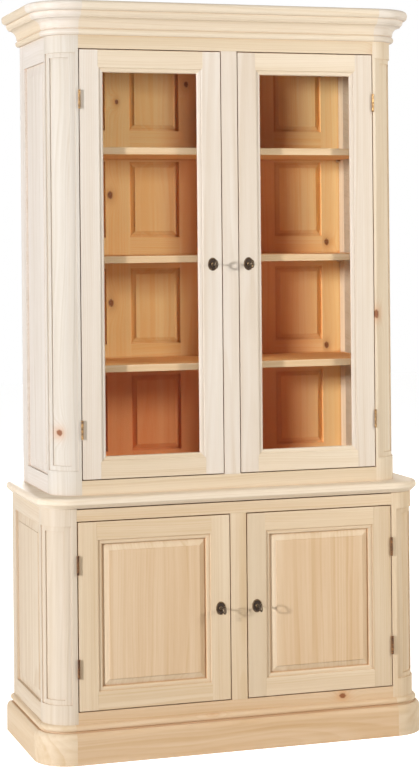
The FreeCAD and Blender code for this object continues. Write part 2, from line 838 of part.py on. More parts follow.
def door(prefix, side, y_front, sill, head, stile_flat, rail_flat, key_height):
    """The frame of a left-hand door: four members with tenons and mitred mouldings."""
    thickness = size.frame_thickness - size.door_stop_gap
    left = size.door_gap - side
    right = -centre_half - size.door_gap
    low = sill + size.door_gap
    high = head - size.door_gap
    y_rear = y_front + thickness
    inner_left = left + stile_flat
    inner_right = right - stile_flat
    middle = ((left + right) / 2, 0, (low + high) / 2)
    stile = door_member(f"{prefix}_stile", high - low, stile_flat, rail_flat, thickness)
    hinge_stile = place(stile, left, y_rear, low)
    lock_stile = mirror(f"{prefix}_lock_stile", hinge_stile, base=middle)
    rail = door_member(f"{prefix}_rail", inner_right - inner_left, rail_flat, formula(0), thickness)
    low_rail = place(rail, inner_right, y_rear, low, turn=-90, axis=(0, 1, 0))
    high_rail = mirror(f"{prefix}_high_rail", low_rail, base=middle, normal=(0, 0, 1))
    tenons = []
    tenon_front = y_front + (thickness - size.tenon_thickness) / 2
    for number, (start, rail_low) in enumerate([
            (inner_left - size.door_tenon_length, low), (inner_right, low),
            (inner_left - size.door_tenon_length, high - rail_flat), (inner_right, high - rail_flat)]):
        corner = (start, tenon_front, rail_low + size.tenon_shoulder + size.panel_tongue)
        tall = rail_flat - 2 * (size.tenon_shoulder + size.panel_tongue)
        lengths = (size.door_tenon_length, size.tenon_thickness, tall)
        tenons.append(box(f"{prefix}_tenon_{number}", corner, lengths))
    key_x = right - size.key_inset
    bore = rod(f"{prefix}_key_bore", (key_x, y_rear, key_height),
               size.key_shank_radius + size.key_hole_clearance, thickness, turn=90, axis=(1, 0, 0))
    slot = size.key_bit_thickness / 2 + size.key_hole_clearance
    drop = size.key_bit_reach + size.key_hole_clearance
    bit_slot = span(f"{prefix}_key_slot", (key_x - slot, key_x + slot), (y_front, y_rear),
                    (key_height - drop, key_height))
    frame = SimpleNamespace(
        stiles=[cut(f"{prefix}_hinge_stile_cut", hinge_stile, tenons[0], tenons[2]),
                cut(f"{prefix}_lock_stile_cut", lock_stile, tenons[1], tenons[3], bore, bit_slot)],
        rails=[fuse(f"{prefix}_low_rail_tenoned", low_rail, *tenons[:2]),
               fuse(f"{prefix}_high_rail_tenoned", high_rail, *tenons[2:])],
        left=inner_left, right=inner_right, low=low + rail_flat, high=high - rail_flat,
        y_front=y_front, y_rear=y_rear, edge=right, key_x=key_x, key_height=key_height,
        y_lip=y_front + size.sticking_step + size.sticking_lip)
    return frame


def glazing(prefix, frame):
    """The pane behind the moulded lips, and four square beads that hold it."""
    gap = size.glass_clearance
    y_glass = frame.y_lip + size.glass_thickness
    pane = span(f"{prefix}_pane", (frame.left + gap, frame.right - gap), (frame.y_lip, y_glass),
                (frame.low + gap, frame.high - gap))
    y = (y_glass, frame.y_rear)
    bead = size.glazing_bead
    beads = [
        span(f"{prefix}_bead_left", (frame.left, frame.left + bead), y, (frame.low, frame.high)),
        span(f"{prefix}_bead_right", (frame.right - bead, frame.right), y, (frame.low, frame.high)),
        span(f"{prefix}_bead_low", (frame.left + bead, frame.right - bead), y, (frame.low, frame.low + bead)),
        span(f"{prefix}_bead_high", (frame.left + bead, frame.right - bead), y,
             (frame.high - bead, frame.high)),
    ]
    hands("upper_SIDE_door_frame", group(f"{prefix}_frame_set", *frame.stiles, *frame.rails))
    hands("upper_SIDE_door_glass", pane)
    hands("upper_SIDE_door_glazing_beads", group(f"{prefix}_bead_set", *beads))


def panelling(prefix, frame):
    """A raised panel whose tongue runs in grooves of the four members."""
    sight = size.sticking_width
    spot = ((frame.left + frame.right) / 2, frame.y_lip, frame.low + sight)
    lengths = (frame.right - frame.left - 2 * sight, frame.high - frame.low - 2 * sight)
    tongue = (sight + size.panel_tongue, size.door_panel_thickness)
    relief = (size.panel_clearance, size.door_panel_bevel, size.door_panel_rise, size.door_panel_step)
    raised = panel(f"{prefix}_door", spot, lengths, relief, *tongue, 180)
    groove = panel_groove(f"{prefix}_door_groove", spot, lengths, *tongue, 180)
    members = [cut(f"{prefix}_grooved_{number}", member, groove)
               for number, member in enumerate(frame.stiles + frame.rails)]
    hands("base_SIDE_door_frame", group(f"{prefix}_frame_set", *members))
    hands("base_SIDE_door_panel", raised)


def keyed_lock(prefix, frame):
    """Escutcheon, key, lock case and bolt of a left-hand door."""
    x, z = frame.key_x, frame.key_height
    y_front, y_rear = frame.y_front, frame.y_rear
    shank = size.key_shank_radius
    slot = size.key_bit_thickness / 2 + size.hinge_clearance
    drop = size.key_bit_reach + size.hinge_clearance
    y_inside = y_rear + size.lock_wall
    keyhole = fuse(
        f"{prefix}_keyhole",
        rod(f"{prefix}_keyhole_round", (x, y_inside, z), shank + size.key_fit,
            y_inside - y_front + size.escutcheon_dome, turn=90, axis=(1, 0, 0)),
        span(f"{prefix}_keyhole_slot", (x - slot, x + slot), (y_front - size.escutcheon_dome, y_inside),
             (z - drop, z)))
    dome = doc.addObject("Part::Ellipsoid", f"{prefix}_escutcheon_dome")
    bind(dome, Radius1=size.escutcheon_height / 2, Radius2=size.escutcheon_width / 2,
         Radius3=size.escutcheon_dome)
    place(dome, x, y_front, z)
    behind = span(f"{prefix}_escutcheon_back", (x - size.escutcheon_width, x + size.escutcheon_width),
                  (y_front, y_front + 2 * size.escutcheon_dome),
                  (z - size.escutcheon_height, z + size.escutcheon_height))
    hands(f"{prefix}_SIDE_escutcheon", cut(f"{prefix}_escutcheon", dome, behind, keyhole))
    half = size.lock_height / 2
    wall = size.lock_wall
    case = span(f"{prefix}_lock_block", (frame.edge - size.lock_width, frame.edge),
                (y_rear, y_rear + size.lock_depth), (z - half, z + half))
    room = span(f"{prefix}_lock_room", (frame.edge - size.lock_width + wall, frame.edge - wall),
                (y_inside, y_rear + size.lock_depth - wall), (z - half + wall, z + half - wall))
    head = frame.edge - size.bolt_shy
    bolt_y = y_inside + size.bolt_start
    bolt = span(f"{prefix}_bolt", (head - size.bolt_length, head), (bolt_y, bolt_y + size.bolt_thickness),
                (z + size.bolt_rise, z + size.bolt_rise + size.bolt_height))
    fit = size.bolt_fit
    gate = span(f"{prefix}_bolt_gate", (frame.edge - 2 * wall, frame.edge),
                (bolt_y - fit, bolt_y + size.bolt_thickness + fit),
                (z + size.bolt_rise - fit, z + size.bolt_rise + size.bolt_height + fit))
    hands(f"{prefix}_SIDE_lock_case", cut(f"{prefix}_lock", case, room, gate, keyhole))
    hands(f"{prefix}_SIDE_lock_bolt", bolt)
    reach = size.key_projection - size.key_ring_radius - size.key_ring_wire
    y_ring = y_front - reach
    ring = doc.addObject("Part::Torus", f"{prefix}_key_ring")
    bind(ring, Radius1=size.key_ring_radius, Radius2=size.key_ring_wire)
    place(ring, x, y_ring, z, turn=90, axis=(0, 1, 0))
    tip = y_inside + size.key_bit_start + size.key_bit_width
    stem_start = y_ring + size.key_ring_radius
    stem = rod(f"{prefix}_key_stem", (x, tip, z), shank, tip - stem_start, turn=90, axis=(1, 0, 0))
    collar_end = y_front - size.escutcheon_dome - size.key_collar_gap
    collar = rod(f"{prefix}_key_collar", (x, collar_end, z), size.key_collar_radius, size.key_collar,
                 turn=90, axis=(1, 0, 0))
    thin = size.key_bit_thickness / 2
    bit = span(f"{prefix}_key_bit", (x - thin, x + thin), (tip - size.key_bit_width, tip),
               (z - size.key_bit_reach, z))
    hands(f"{prefix}_SIDE_key", fuse(f"{prefix}_key_whole", ring, stem, collar, bit))


def hinge(name, axis_x, y_front, z_middle):
    """A butt hinge at the left edge of a door: leaf on the post, leaf on the door, and the pin."""
    radius = size.hinge_knuckle_radius
    gap = size.hinge_clearance
    axis_y = y_front - radius - gap
    z_low = z_middle - size.hinge_height / 2
    z_high = z_middle + size.hinge_height / 2
    end = size.hinge_end_knuckle
    half_gap = size.door_gap / 2
    y_plate = (y_front, y_front + size.hinge_leaf_width)
    bore = rod(f"{name}_bore", (axis_x, axis_y, z_low), size.hinge_pin_radius + size.hinge_pin_fit,
               z_high - z_low)
    sheet_metal = size.hinge_leaf_thickness

    def leaf(part, x, spans):
        pieces = [span(f"{name}_{part}_plate", x, y_plate, (z_low, z_high))]
        for number, (foot, top) in enumerate(spans):
            pieces.append(span(f"{name}_{part}_tab_{number}", x, (axis_y, y_front), (foot, top)))
            pieces.append(rod(f"{name}_{part}_knuckle_{number}", (axis_x, axis_y, foot), radius, top - foot))
        return cut(f"{name}_{part}_leaf", fuse(f"{name}_{part}_blank", *pieces), bore)

    post_leaf = leaf("post", (axis_x - half_gap, axis_x - half_gap + sheet_metal),
                     [(z_low, z_low + end), (z_high - end, z_high)])
    door_leaf = leaf("door", (axis_x + half_gap - sheet_metal, axis_x + half_gap),
                     [(z_low + end + gap, z_high - end - gap)])
    pin = fuse(f"{name}_pin",
               rod(f"{name}_pin_bar", (axis_x, axis_y, z_low), size.hinge_pin_radius, z_high - z_low),
               rod(f"{name}_pin_foot", (axis_x, axis_y, z_low - size.hinge_cap), radius, size.hinge_cap),
               rod(f"{name}_pin_head", (axis_x, axis_y, z_high), radius, size.hinge_cap))
    return post_leaf, door_leaf, pin


def hinged(prefix, side, y_front, sill, head, inset):
    """The two hinges of a left-hand door; the door's own leaves become its node."""
    axis_x = size.door_gap / 2 - side
    low = hinge(f"{prefix}_hinge_low", axis_x, y_front, sill + inset)
    high = hinge(f"{prefix}_hinge_high", axis_x, y_front, head - inset)
    hands(f"{prefix}_SIDE_hinge_leaves", group(f"{prefix}_door_leaves", low[1], high[1]))
    return [low[0], high[0]], [low[2], high[2]]


glazed = door("upper", upper_side, y_upper, upper_sill, upper_head, size.glazed_stile, size.glazed_rail,
              size.upper_key_height)
glazing("upper", glazed)
keyed_lock("upper", glazed)
upper_leaves, upper_pins = hinged("upper", upper_side, y_upper, upper_sill, upper_head,
                                  size.upper_hinge_inset)
panelled = door("base", base_side, y_base, base_sill, base_head, size.panelled_stile, size.panelled_rail,
                size.base_key_height)
panelling("base", panelled)
keyed_lock("base", panelled)
base_leaves, base_pins = hinged("base", base_side, y_base, base_sill, base_head, size.base_hinge_inset)
pair("hinge_frame_leaves", *upper_leaves, *base_leaves)
pair("hinge_pins", *upper_pins, *base_pins)

# Check every object, then write each sub-part
doc.recompute()
for item in doc.Objects:
    if "Invalid" in item.State or "Error" in item.State:
        raise RuntimeError(f"{item.Label} did not build: {item.State}")
for item in nodes:
    if item.Shape.isNull() or not item.Shape.isValid():
        raise RuntimeError(f"{item.Label} has no valid shape")
os.makedirs("parts", exist_ok=True)
for item in nodes:
    item.Shape.exportStep(f"parts/{item.Label}.step")
print(len(nodes), "sub-parts,", sum(len(item.Shape.Solids) for item in nodes), "solids")
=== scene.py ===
# %% [markdown]
# # A pine display cabinet
# The cabinet stands in two parts: a base with panelled doors and a glazed upper part, both with
# rounded corner posts. Its boards come in as solids from the shared frame, and this lesson gives
# them their wood, metal and glass, adds the small fittings, and sets up a studio to look at them.

# %% Load the frame
import bmesh
import bpy
import math
import numpy as np
from mathutils import Matrix, Vector


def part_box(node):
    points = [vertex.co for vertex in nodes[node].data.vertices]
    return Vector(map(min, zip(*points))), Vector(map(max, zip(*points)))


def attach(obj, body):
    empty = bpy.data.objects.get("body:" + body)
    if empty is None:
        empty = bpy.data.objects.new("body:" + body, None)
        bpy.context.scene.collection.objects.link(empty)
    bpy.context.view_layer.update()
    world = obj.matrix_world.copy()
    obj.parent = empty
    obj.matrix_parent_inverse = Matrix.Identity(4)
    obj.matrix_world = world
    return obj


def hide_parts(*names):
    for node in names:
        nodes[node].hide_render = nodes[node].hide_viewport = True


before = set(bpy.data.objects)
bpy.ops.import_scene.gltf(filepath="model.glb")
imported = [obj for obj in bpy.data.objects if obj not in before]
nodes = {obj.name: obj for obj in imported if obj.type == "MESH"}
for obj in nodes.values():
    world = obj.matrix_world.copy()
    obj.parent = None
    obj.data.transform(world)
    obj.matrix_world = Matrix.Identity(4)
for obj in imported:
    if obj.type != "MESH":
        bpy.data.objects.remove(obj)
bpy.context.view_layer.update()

scene = bpy.context.scene
scene.view_settings.view_transform = "Standard"

# %% [markdown]
# ## The camera
# The picture was taken with a levelled camera from the left of the front, at eye height. All the
# upright lines stay parallel, so the view is aimed straight ahead and the frame is slid down with
# lens shift, as a view camera does. A tilted camera would make the sides lean together.

# %% Camera
EYE = Vector((-1.796, -5.542, 1.475))
AHEAD = Vector((0.306, 0.952, 0.0)).normalized()
LEAN = 0.0093
FILM_WIDTH, FOCAL, SHIFT, FARTHEST = 36.0, 91.45, -0.1896, 100.0
UP = Vector((0.0, 0.0, 1.0))
level = AHEAD.cross(UP)
right = math.cos(LEAN) * level - math.sin(LEAN) * UP
above = math.cos(LEAN) * UP + math.sin(LEAN) * level
lens = bpy.data.cameras.new("camera")
lens.sensor_width = FILM_WIDTH
lens.lens = FOCAL
lens.shift_y = SHIFT
lens.clip_end = FARTHEST
camera = bpy.data.objects.new("camera", lens)
turn = Matrix((right, above, -AHEAD)).transposed().to_4x4()
camera.matrix_world = Matrix.Translation(EYE) @ turn
scene.collection.objects.link(camera)
scene.camera = camera
print("camera at", tuple(round(value, 3) for value in EYE))

# %% [markdown]
# ## Node helpers
# Shader graphs get long. A few short calls that add a node and join it to the last one keep each
# recipe readable: a value may be a number, a colour or the output of another node.


# %% Node helpers
class Graph:
    """Adds nodes to one shader tree; every call gives back an output socket or a node."""

    def __init__(self, tree):
        self.tree = tree

    def add(self, kind, **settings):
        node = self.tree.nodes.new("ShaderNode" + kind)
        for name, value in settings.items():
            setattr(node, name, value)
        return node

    def put(self, socket, value):
        if isinstance(value, bpy.types.NodeSocket):
            self.tree.links.new(value, socket)
        elif value is not None:
            socket.default_value = value

    def math(self, operation, *values, clamp=False):
        node = self.add("Math", operation=operation, use_clamp=clamp)
        for socket, value in zip(node.inputs, values):
            self.put(socket, value)
        return node.outputs[0]

    def vector(self, operation, *values):
        node = self.add("VectorMath", operation=operation)
        for socket, value in zip(node.inputs, values):
            self.put(socket, value)
        return node.outputs["Value" if operation == "LENGTH" else "Vector"]

    def ramp(self, value, low, high, to_low=0.0, to_high=1.0, smooth=True):
        """Carries value from the range low to high over to the range to_low to to_high."""
        node = self.add("MapRange", interpolation_type="SMOOTHSTEP" if smooth else "LINEAR")
        for name, number in (("Value", value), ("From Min", low), ("From Max", high),
                             ("To Min", to_low), ("To Max", to_high)):
            self.put(node.inputs[name], number)
        return node.outputs["Result"]

    def mix(self, factor, first, second, blend="MIX"):
        node = self.add("Mix", data_type="RGBA", blend_type=blend)
        self.put(node.inputs[0], factor)
        self.put(node.inputs[6], first)
        self.put(node.inputs[7], second)
        return node.outputs[2]

    def noise(self, position, detail=2.0, roughness=0.5, scale=1.0):
        node = self.add("TexNoise")
        self.put(node.inputs["Vector"], position)
        self.put(node.inputs["Scale"], scale)
        self.put(node.inputs["Detail"], detail)
        self.put(node.inputs["Roughness"], roughness)
        return node.outputs


print("graph helper ready")

# %% [markdown]
# ## Colours, groups and materials
# A shader works with linear light, while colours are easier to pick on the scale of a picture, so
# one call turns the second into the first. The others start a node group or a material and hand
# back what a recipe needs. Each could be written out at every material, but a recipe then hides
# behind its plumbing.


# %% Colours, groups and materials
def colour(red, green, blue):
    """A colour on the 0 to 255 scale of a picture, as the linear light that a shader works with."""
    share = np.array([red, green, blue]) / 255.0
    light = np.where(share <= 0.04045, share / 12.92, ((share + 0.055) / 1.055) ** 2.4)
    return (*[float(value) for value in light], 1.0)


def new_group(name, inputs, outputs):
    """An empty node group with these sockets: its graph, its input node and its output node."""
    tree = bpy.data.node_groups.new(name, "ShaderNodeTree")
    for title, kind, value in inputs:
        socket = tree.interface.new_socket(title, in_out="INPUT", socket_type="NodeSocket" + kind)
        socket.default_value = value
    for title, kind in outputs:
        tree.interface.new_socket(title, in_out="OUTPUT", socket_type="NodeSocket" + kind)
    graph = Graph(tree)
    return graph, tree.nodes.new("NodeGroupInput"), tree.nodes.new("NodeGroupOutput")


def use_group(graph, name, **values):
    """Places a node group; spaces in socket names are written as underscores."""
    node = graph.tree.nodes.new("ShaderNodeGroup")
    node.node_tree = bpy.data.node_groups[name]
    for title, value in values.items():
        graph.put(node.inputs[title.replace("_", " ")], value)
    return node.outputs


def new_material(name):
    """A material with a Principled shader: its graph, the shader and the Object position."""
    material = bpy.data.materials.new(name)
    material.use_nodes = True
    graph = Graph(material.node_tree)
    shader = material.node_tree.nodes["Principled BSDF"]
    position = graph.add("TexCoord").outputs["Object"]
    return material, graph, shader, position


def add_bump(graph, shader, height, strength, distance, normal=None):
    """Lets a height tilt the shader's normal, on top of another normal where one is given."""
    bump = graph.add("Bump")
    bump.inputs["Strength"].default_value = strength
    bump.inputs["Distance"].default_value = distance
    graph.put(bump.inputs["Height"], height)
    graph.put(bump.inputs["Normal"], normal)
    graph.put(shader.inputs["Normal"], bump.outputs[0])


print("material helpers ready")

# %% [markdown]
# ## The studio
# Two softboxes stand left and right of the front, half a metre above the upper keys. The left one
# is farther off and stronger, so mouldings turn light on their left and the keys throw soft
# shadows on the doors. Both shine in through the panes, cross, and leave the middle of the back
# in shade. A faint one overhead lifts the upper faces of the mouldings, and one behind lights the
# back. An even sky would be simpler, but it would wash out the mouldings.

# %% Lamps
AIM = Vector((0.0, 0.0, 1.15))
SOFTBOXES = [
    # name, bearing in degrees, distance, height, width and tall in metres, strength, tint
    ("softbox_left", -63.0, 8.0, 1.95, 0.43, 0.57, 0.98, (0.99, 1.0, 1.02)),
    ("softbox_right", 50.0, 3.7, 1.93, 0.44, 0.60, 0.60, (1.0, 0.97, 0.90)),
    ("softbox_top", -8.0, 3.0, 6.0, 2.0, 2.0, 0.20, (1.0, 0.99, 0.97)),
    ("softbox_back", 172.0, 7.0, 3.2, 1.6, 1.6, 0.55, (1.0, 1.0, 1.0)),
]


def softbox(name, bearing, distance, height, width, tall, strength, tint):
    """An area lamp aimed at the cabinet; strength is the white level that it gives head on."""
    angle = math.radians(bearing)
    spot = Vector((math.sin(angle) * distance, -math.cos(angle) * distance, height))
    data = bpy.data.lights.new(name, "AREA")
    data.shape = "RECTANGLE"
    data.size = width
    data.size_y = tall
    data.color = tint
    data.energy = strength * math.pi ** 2 * (spot - AIM).length_squared
    lamp = bpy.data.objects.new(name, data)
    lamp.location = spot
    lamp.rotation_euler = (AIM - spot).to_track_quat("-Z", "Y").to_euler()
    scene.collection.objects.link(lamp)


for settings in SOFTBOXES:
    softbox(*settings)
print("lamps:", len(bpy.data.lights))

# %% [markdown]
# ## The sky
# The picture has a white ground. A white sky would also light the cabinet from all round, so the
# sky is white only to rays that the camera sends, or that come off glass and metal, and nearly
# dark to all others.

# %% Sky
AMBIENT = 0.012
WHITE = (1.0, 1.0, 1.0, 1.0)
world = bpy.data.worlds.new("studio_air")
scene.world = world
world.use_nodes = True
sky = Graph(world.node_tree)
rays = sky.add("LightPath").outputs
seen = sky.math("MAXIMUM", rays["Is Camera Ray"], rays["Is Glossy Ray"])
seen = sky.math("MAXIMUM", seen, rays["Is Transmission Ray"])
air = world.node_tree.nodes["Background"]
air.inputs["Color"].default_value = WHITE
sky.put(air.inputs["Strength"], sky.ramp(seen, 0.0, 1.0, AMBIENT, 1.0, smooth=False))
print("sky:", world.name)

# %% [markdown]
# ## The floor
# The floor is a large sheet of pale paper. It glows towards the camera as the sky does, so that
# it runs into the white. A shadow alone could be laid over a white picture, but a floor also
# throws light back up under the mouldings.

# %% Floor
FLOOR_HALF, FLOOR_GLOW, FLOOR_SPECKLE, FLOOR_ROUGH = 14.0, 0.9, 40.0, 0.9
FLOOR_TINTS = (colour(208, 206, 203), colour(216, 214, 211))
ground = bpy.data.meshes.new("floor")
corners = [(x * FLOOR_HALF, y * FLOOR_HALF, 0) for x, y in ((-1, -1), (1, -1), (1, 1), (-1, 1))]
ground.from_pydata(corners, [], [(0, 1, 2, 3)])
floor = bpy.data.objects.new("floor", ground)
scene.collection.objects.link(floor)
paper, graph, shader, position = new_material("floor_paper")
speckle = graph.noise(position, 3.0, 0.6, FLOOR_SPECKLE)[0]
graph.put(shader.inputs["Base Color"], graph.mix(speckle, *FLOOR_TINTS))
shader.inputs["Roughness"].default_value = FLOOR_ROUGH
shader.inputs["Emission Color"].default_value = WHITE
rays = graph.add("LightPath").outputs
shown = graph.math("MAXIMUM", rays["Is Camera Ray"], rays["Is Glossy Ray"])
graph.put(shader.inputs["Emission Strength"], graph.math("MULTIPLY", shown, FLOOR_GLOW))
ground.materials.append(paper)
print("floor:", 2 * FLOOR_HALF, "m wide")

# %% [markdown]
# ## Pine grain
# Pine shows its yearly rings: a broad pale band of spring wood and a narrow, darker band of
# summer wood. A board cuts through the log, so the rings come out as long stripes and arches.
# Painting stripes would look the same on every board, so this group keeps the log itself: it
# measures how far a point lies from the log's middle, bends that distance a little, and reads off
# the ring. Wide panels are glued up from narrow boards, so the group can also move to another log
# at each glue line.


# %% Pine grain group
# Waves are counted per metre along the board's width, its thickness and the grain
HALF = (0.5, 0.5, 0.5)
BOARD_SHIFT = (0.16, 0.05, 3.0)
SLOW_WAVES, BEND = (3.5, 3.5, 0.9), (0.07, 0.07, 0.0)
QUICK_WAVES, WOBBLE = (40.0, 40.0, 2.5), 0.0035
TAPER = (1.0, 1.0, 0.012)
SEASON_WAVES, SEASON_SPREAD = 50.0, 0.02
LATE_START, LATE_END, FAINTEST_YEAR = 0.1, 0.86, 0.15
STREAK_WAVES = (48.0, 48.0, 0.9)
FIBRE_WAVES = (700.0, 700.0, 16.0)
CLOUD_WAVES = (14.0, 14.0, 1.1)


def pine_grain_group():
    """Ring number = distance from the log's axis / ring width, bent by slow noise and by knots.

    Latewood rises slowly over each ring and drops at its end, and is fainter in some years. Streak
    and Fibre are broad and fine noise drawn out along the grain, Cloud is slow noise, and Tone is
    one random number for each glued board."""
    graph, given, made = new_group("pine_grain", [
        ("Position", "Vector", (0.0, 0.0, 0.0)),
        ("Log Offset", "Vector", (0.0, 0.0, 0.0)),
        ("Board Width", "Float", 10.0),
        ("Ring Width", "Float", 0.006),
        ("Knot Push", "Float", 0.0),
    ], [(title, "Float") for title in ("Latewood", "Streak", "Fibre", "Cloud", "Tone")])
    place = graph.add("SeparateXYZ")
    graph.put(place.inputs[0], given.outputs["Position"])
    boards = graph.math("DIVIDE", place.outputs[0], given.outputs["Board Width"])
    board = graph.math("FLOOR", boards)
    offset = graph.add("SeparateXYZ")
    graph.put(offset.inputs[0], given.outputs["Log Offset"])
    chance = graph.add("TexWhiteNoise", noise_dimensions="1D")
    graph.put(chance.inputs["W"], graph.math("ADD", board, offset.outputs[2]))
    shift = graph.vector("SUBTRACT", chance.outputs["Color"], HALF)
    shift = graph.vector("MULTIPLY", shift, BOARD_SHIFT)
    point = graph.vector("ADD", given.outputs["Position"], given.outputs["Log Offset"])
    point = graph.vector("ADD", point, shift)
    slow = graph.noise(graph.vector("MULTIPLY", point, SLOW_WAVES), 2.0, 0.5)
    bend = graph.vector("SUBTRACT", slow["Color"], HALF)
    bend = graph.vector("MULTIPLY", bend, BEND)
    quick = graph.noise(graph.vector("MULTIPLY", point, QUICK_WAVES), 2.0, 0.55)
    wobble = graph.math("MULTIPLY", graph.math("SUBTRACT", quick[0], 0.5), WOBBLE)
    axis = graph.vector("MULTIPLY", graph.vector("ADD", point, bend), TAPER)
    far = graph.vector("LENGTH", axis)
    far = graph.math("ADD", graph.math("ADD", far, wobble), given.outputs["Knot Push"])
    spread = graph.add("CombineXYZ")
    graph.put(spread.inputs[0], graph.math("MULTIPLY", far, SEASON_WAVES))
    seasons = graph.noise(spread.outputs[0], 1.0)[0]
    far = graph.math("ADD", far, graph.math("MULTIPLY", seasons, SEASON_SPREAD))
    count = graph.math("DIVIDE", far, given.outputs["Ring Width"])
    year = graph.add("TexWhiteNoise", noise_dimensions="1D")
    graph.put(year.inputs["W"], graph.math("FLOOR", count))
    ring = graph.math("FRACT", count)
    rise = graph.ramp(ring, LATE_START, LATE_END)
    fall = graph.ramp(ring, LATE_END, 1.0, 1.0, 0.0)
    late = graph.math("MULTIPLY", rise, fall)
    strength = graph.ramp(year.outputs["Value"], 0.0, 1.0, FAINTEST_YEAR, 1.0, smooth=False)
    late = graph.math("MULTIPLY", late, strength)
    graph.put(made.inputs["Latewood"], late)
    broad = graph.noise(graph.vector("MULTIPLY", point, STREAK_WAVES), 2.0, 0.5)
    graph.put(made.inputs["Streak"], broad[0])
    fine = graph.noise(graph.vector("MULTIPLY", point, FIBRE_WAVES), 3.0, 0.6)
    graph.put(made.inputs["Fibre"], fine[0])
    cloud = graph.noise(graph.vector("MULTIPLY", point, CLOUD_WAVES), 3.0, 0.55)
    graph.put(made.inputs["Cloud"], cloud[0])
    graph.put(made.inputs["Tone"], chance.outputs["Value"])
    return graph.tree


print("group:", pine_grain_group().name)

# %% [markdown]
# ## Knots
# A knot is the foot of a branch. It is a dark, slightly long oval, the rings crowd round it, and
# the wood beside it is stained. A dark dot on the surface would not bend the rings, so the group
# gives all three for one knot at a given place. It measures only in the plane of the board's
# face, so the knot goes right through the board.


# %% Knot group
KNOT_RAGGED, KNOT_LONG, KNOT_EDGE = (160.0, 0.0, 120.0), (1.0, 0.0, 0.72), 0.7
CORE_RIM = (0.65, 1.15)
# What a knot does to the wood round it: its reach in knot radii, and its amount in the middle
ROUND_A_KNOT = (("Halo", 2.0, 1.0), ("Push", 3.2, 0.02))


def pine_knot_group():
    """With d the distance from the knot's centre in knot radii: the core is where d < 1, roughened
    by noise, the halo is exp(-(d / 2)^2), and the push on the rings falls as exp(-(d / 3.2)^2)."""
    graph, given, made = new_group("pine_knot", [
        ("Position", "Vector", (0.0, 0.0, 0.0)),
        ("Centre", "Vector", (0.0, 0.0, 0.0)),
        ("Radius", "Float", 0.008),
    ], [("Core", "Float"), ("Halo", "Float"), ("Push", "Float")])
    away = graph.vector("SUBTRACT", given.outputs["Position"], given.outputs["Centre"])
    rough = graph.noise(graph.vector("MULTIPLY", away, KNOT_RAGGED), 2.0)[0]
    away = graph.vector("MULTIPLY", away, KNOT_LONG)
    d = graph.math("DIVIDE", graph.vector("LENGTH", away), given.outputs["Radius"])
    ragged = graph.math("MULTIPLY", graph.math("SUBTRACT", rough, 0.5), KNOT_EDGE)
    edge = graph.math("ADD", d, ragged)
    graph.put(made.inputs["Core"], graph.ramp(edge, *CORE_RIM, 1.0, 0.0))
    for title, reach, amount in ROUND_A_KNOT:
        square = graph.math("POWER", graph.math("DIVIDE", d, reach), 2.0)
        bell = graph.math("EXPONENT", graph.math("MULTIPLY", square, -1.0))
        graph.put(made.inputs[title], graph.math("MULTIPLY", bell, amount))
    return graph.tree


print("group:", pine_knot_group().name)

# %% [markdown]
# ## Pine finishes
# All the boards are the same waxed pine, but no two are alike: the stiles of the upper part are
# nearly white, its rails creamier, the base is warmer, and inside the wood has kept a deep honey
# colour away from daylight. A board's grain runs along it. The log could be turned for each board
# by three angles, but boards here lie along the axes, so it is enough to swap the axes' order.

# %% Ways of the grain
ORDERS = {"upright": (0, 1, 2), "across": (2, 1, 0), "deep": (2, 0, 1), "side_upright": (1, 0, 2)}


def grain_place(graph, position, order):
    """Turns the position so that the grain runs along Z and the board's width along X."""
    split = graph.add("SeparateXYZ")
    graph.put(split.inputs[0], position)
    join = graph.add("CombineXYZ")
    for socket, axis in zip(join.inputs, ORDERS[order]):
        graph.put(socket, split.outputs[axis])
    return join.outputs[0]


print("ways of the grain:", len(ORDERS))

# %% [markdown]
# ## Painted shade on the back
# The middle of the back and the left of its lowest row lie in shade, where only light that has
# come off the honey wood reaches them, so they are redder. This shade is painted in. It could be
# finishes of its own, but the change is slow and crosses the boards' joints, so a mask is worked
# out from where a point lies, and the wood's colour is multiplied by a red where it is 1. The
# painted shade goes right through the boards, so the outside of the back has it too.

# %% Painted shade on the back
# A red that the wood's colour is multiplied by, as painted shade in the middle and lowest row of
# the back
PAINTED_SHADE_RED, PAINTED_SHADE_MOST = (0.88, 0.52, 0.42, 1.0), 0.85
PAINTED_SHADE_LEFT, PAINTED_SHADE_RIGHT = (-0.14, 0.03), (0.22, 0.42)
PAINTED_SHADE_LOW, PAINTED_SHADE_LEAN = (1.06, 1.12), (1.3, 1.6, 0.06, 0.0)


def painted_shade_share(graph, position):
    """The share of painted shade: whole in the lowest row, and above it rising over
    PAINTED_SHADE_LEFT to PAINTED_SHADE_MOST. All of it falls off over PAINTED_SHADE_RIGHT and lies
    farther right lower down."""
    split = graph.add("SeparateXYZ")
    graph.put(split.inputs[0], position)
    x, _, z = split.outputs
    x = graph.math("SUBTRACT", x, graph.ramp(z, *PAINTED_SHADE_LEAN))
    low = graph.ramp(z, *PAINTED_SHADE_LOW, 1.0, 0.0)
    start = graph.math("MAXIMUM", graph.ramp(x, *PAINTED_SHADE_LEFT, 0.0, PAINTED_SHADE_MOST), low)
    return graph.math("MULTIPLY", start, graph.ramp(x, *PAINTED_SHADE_RIGHT, 1.0, 0.0))


print("painted_red_shade fades out between x", PAINTED_SHADE_RIGHT)
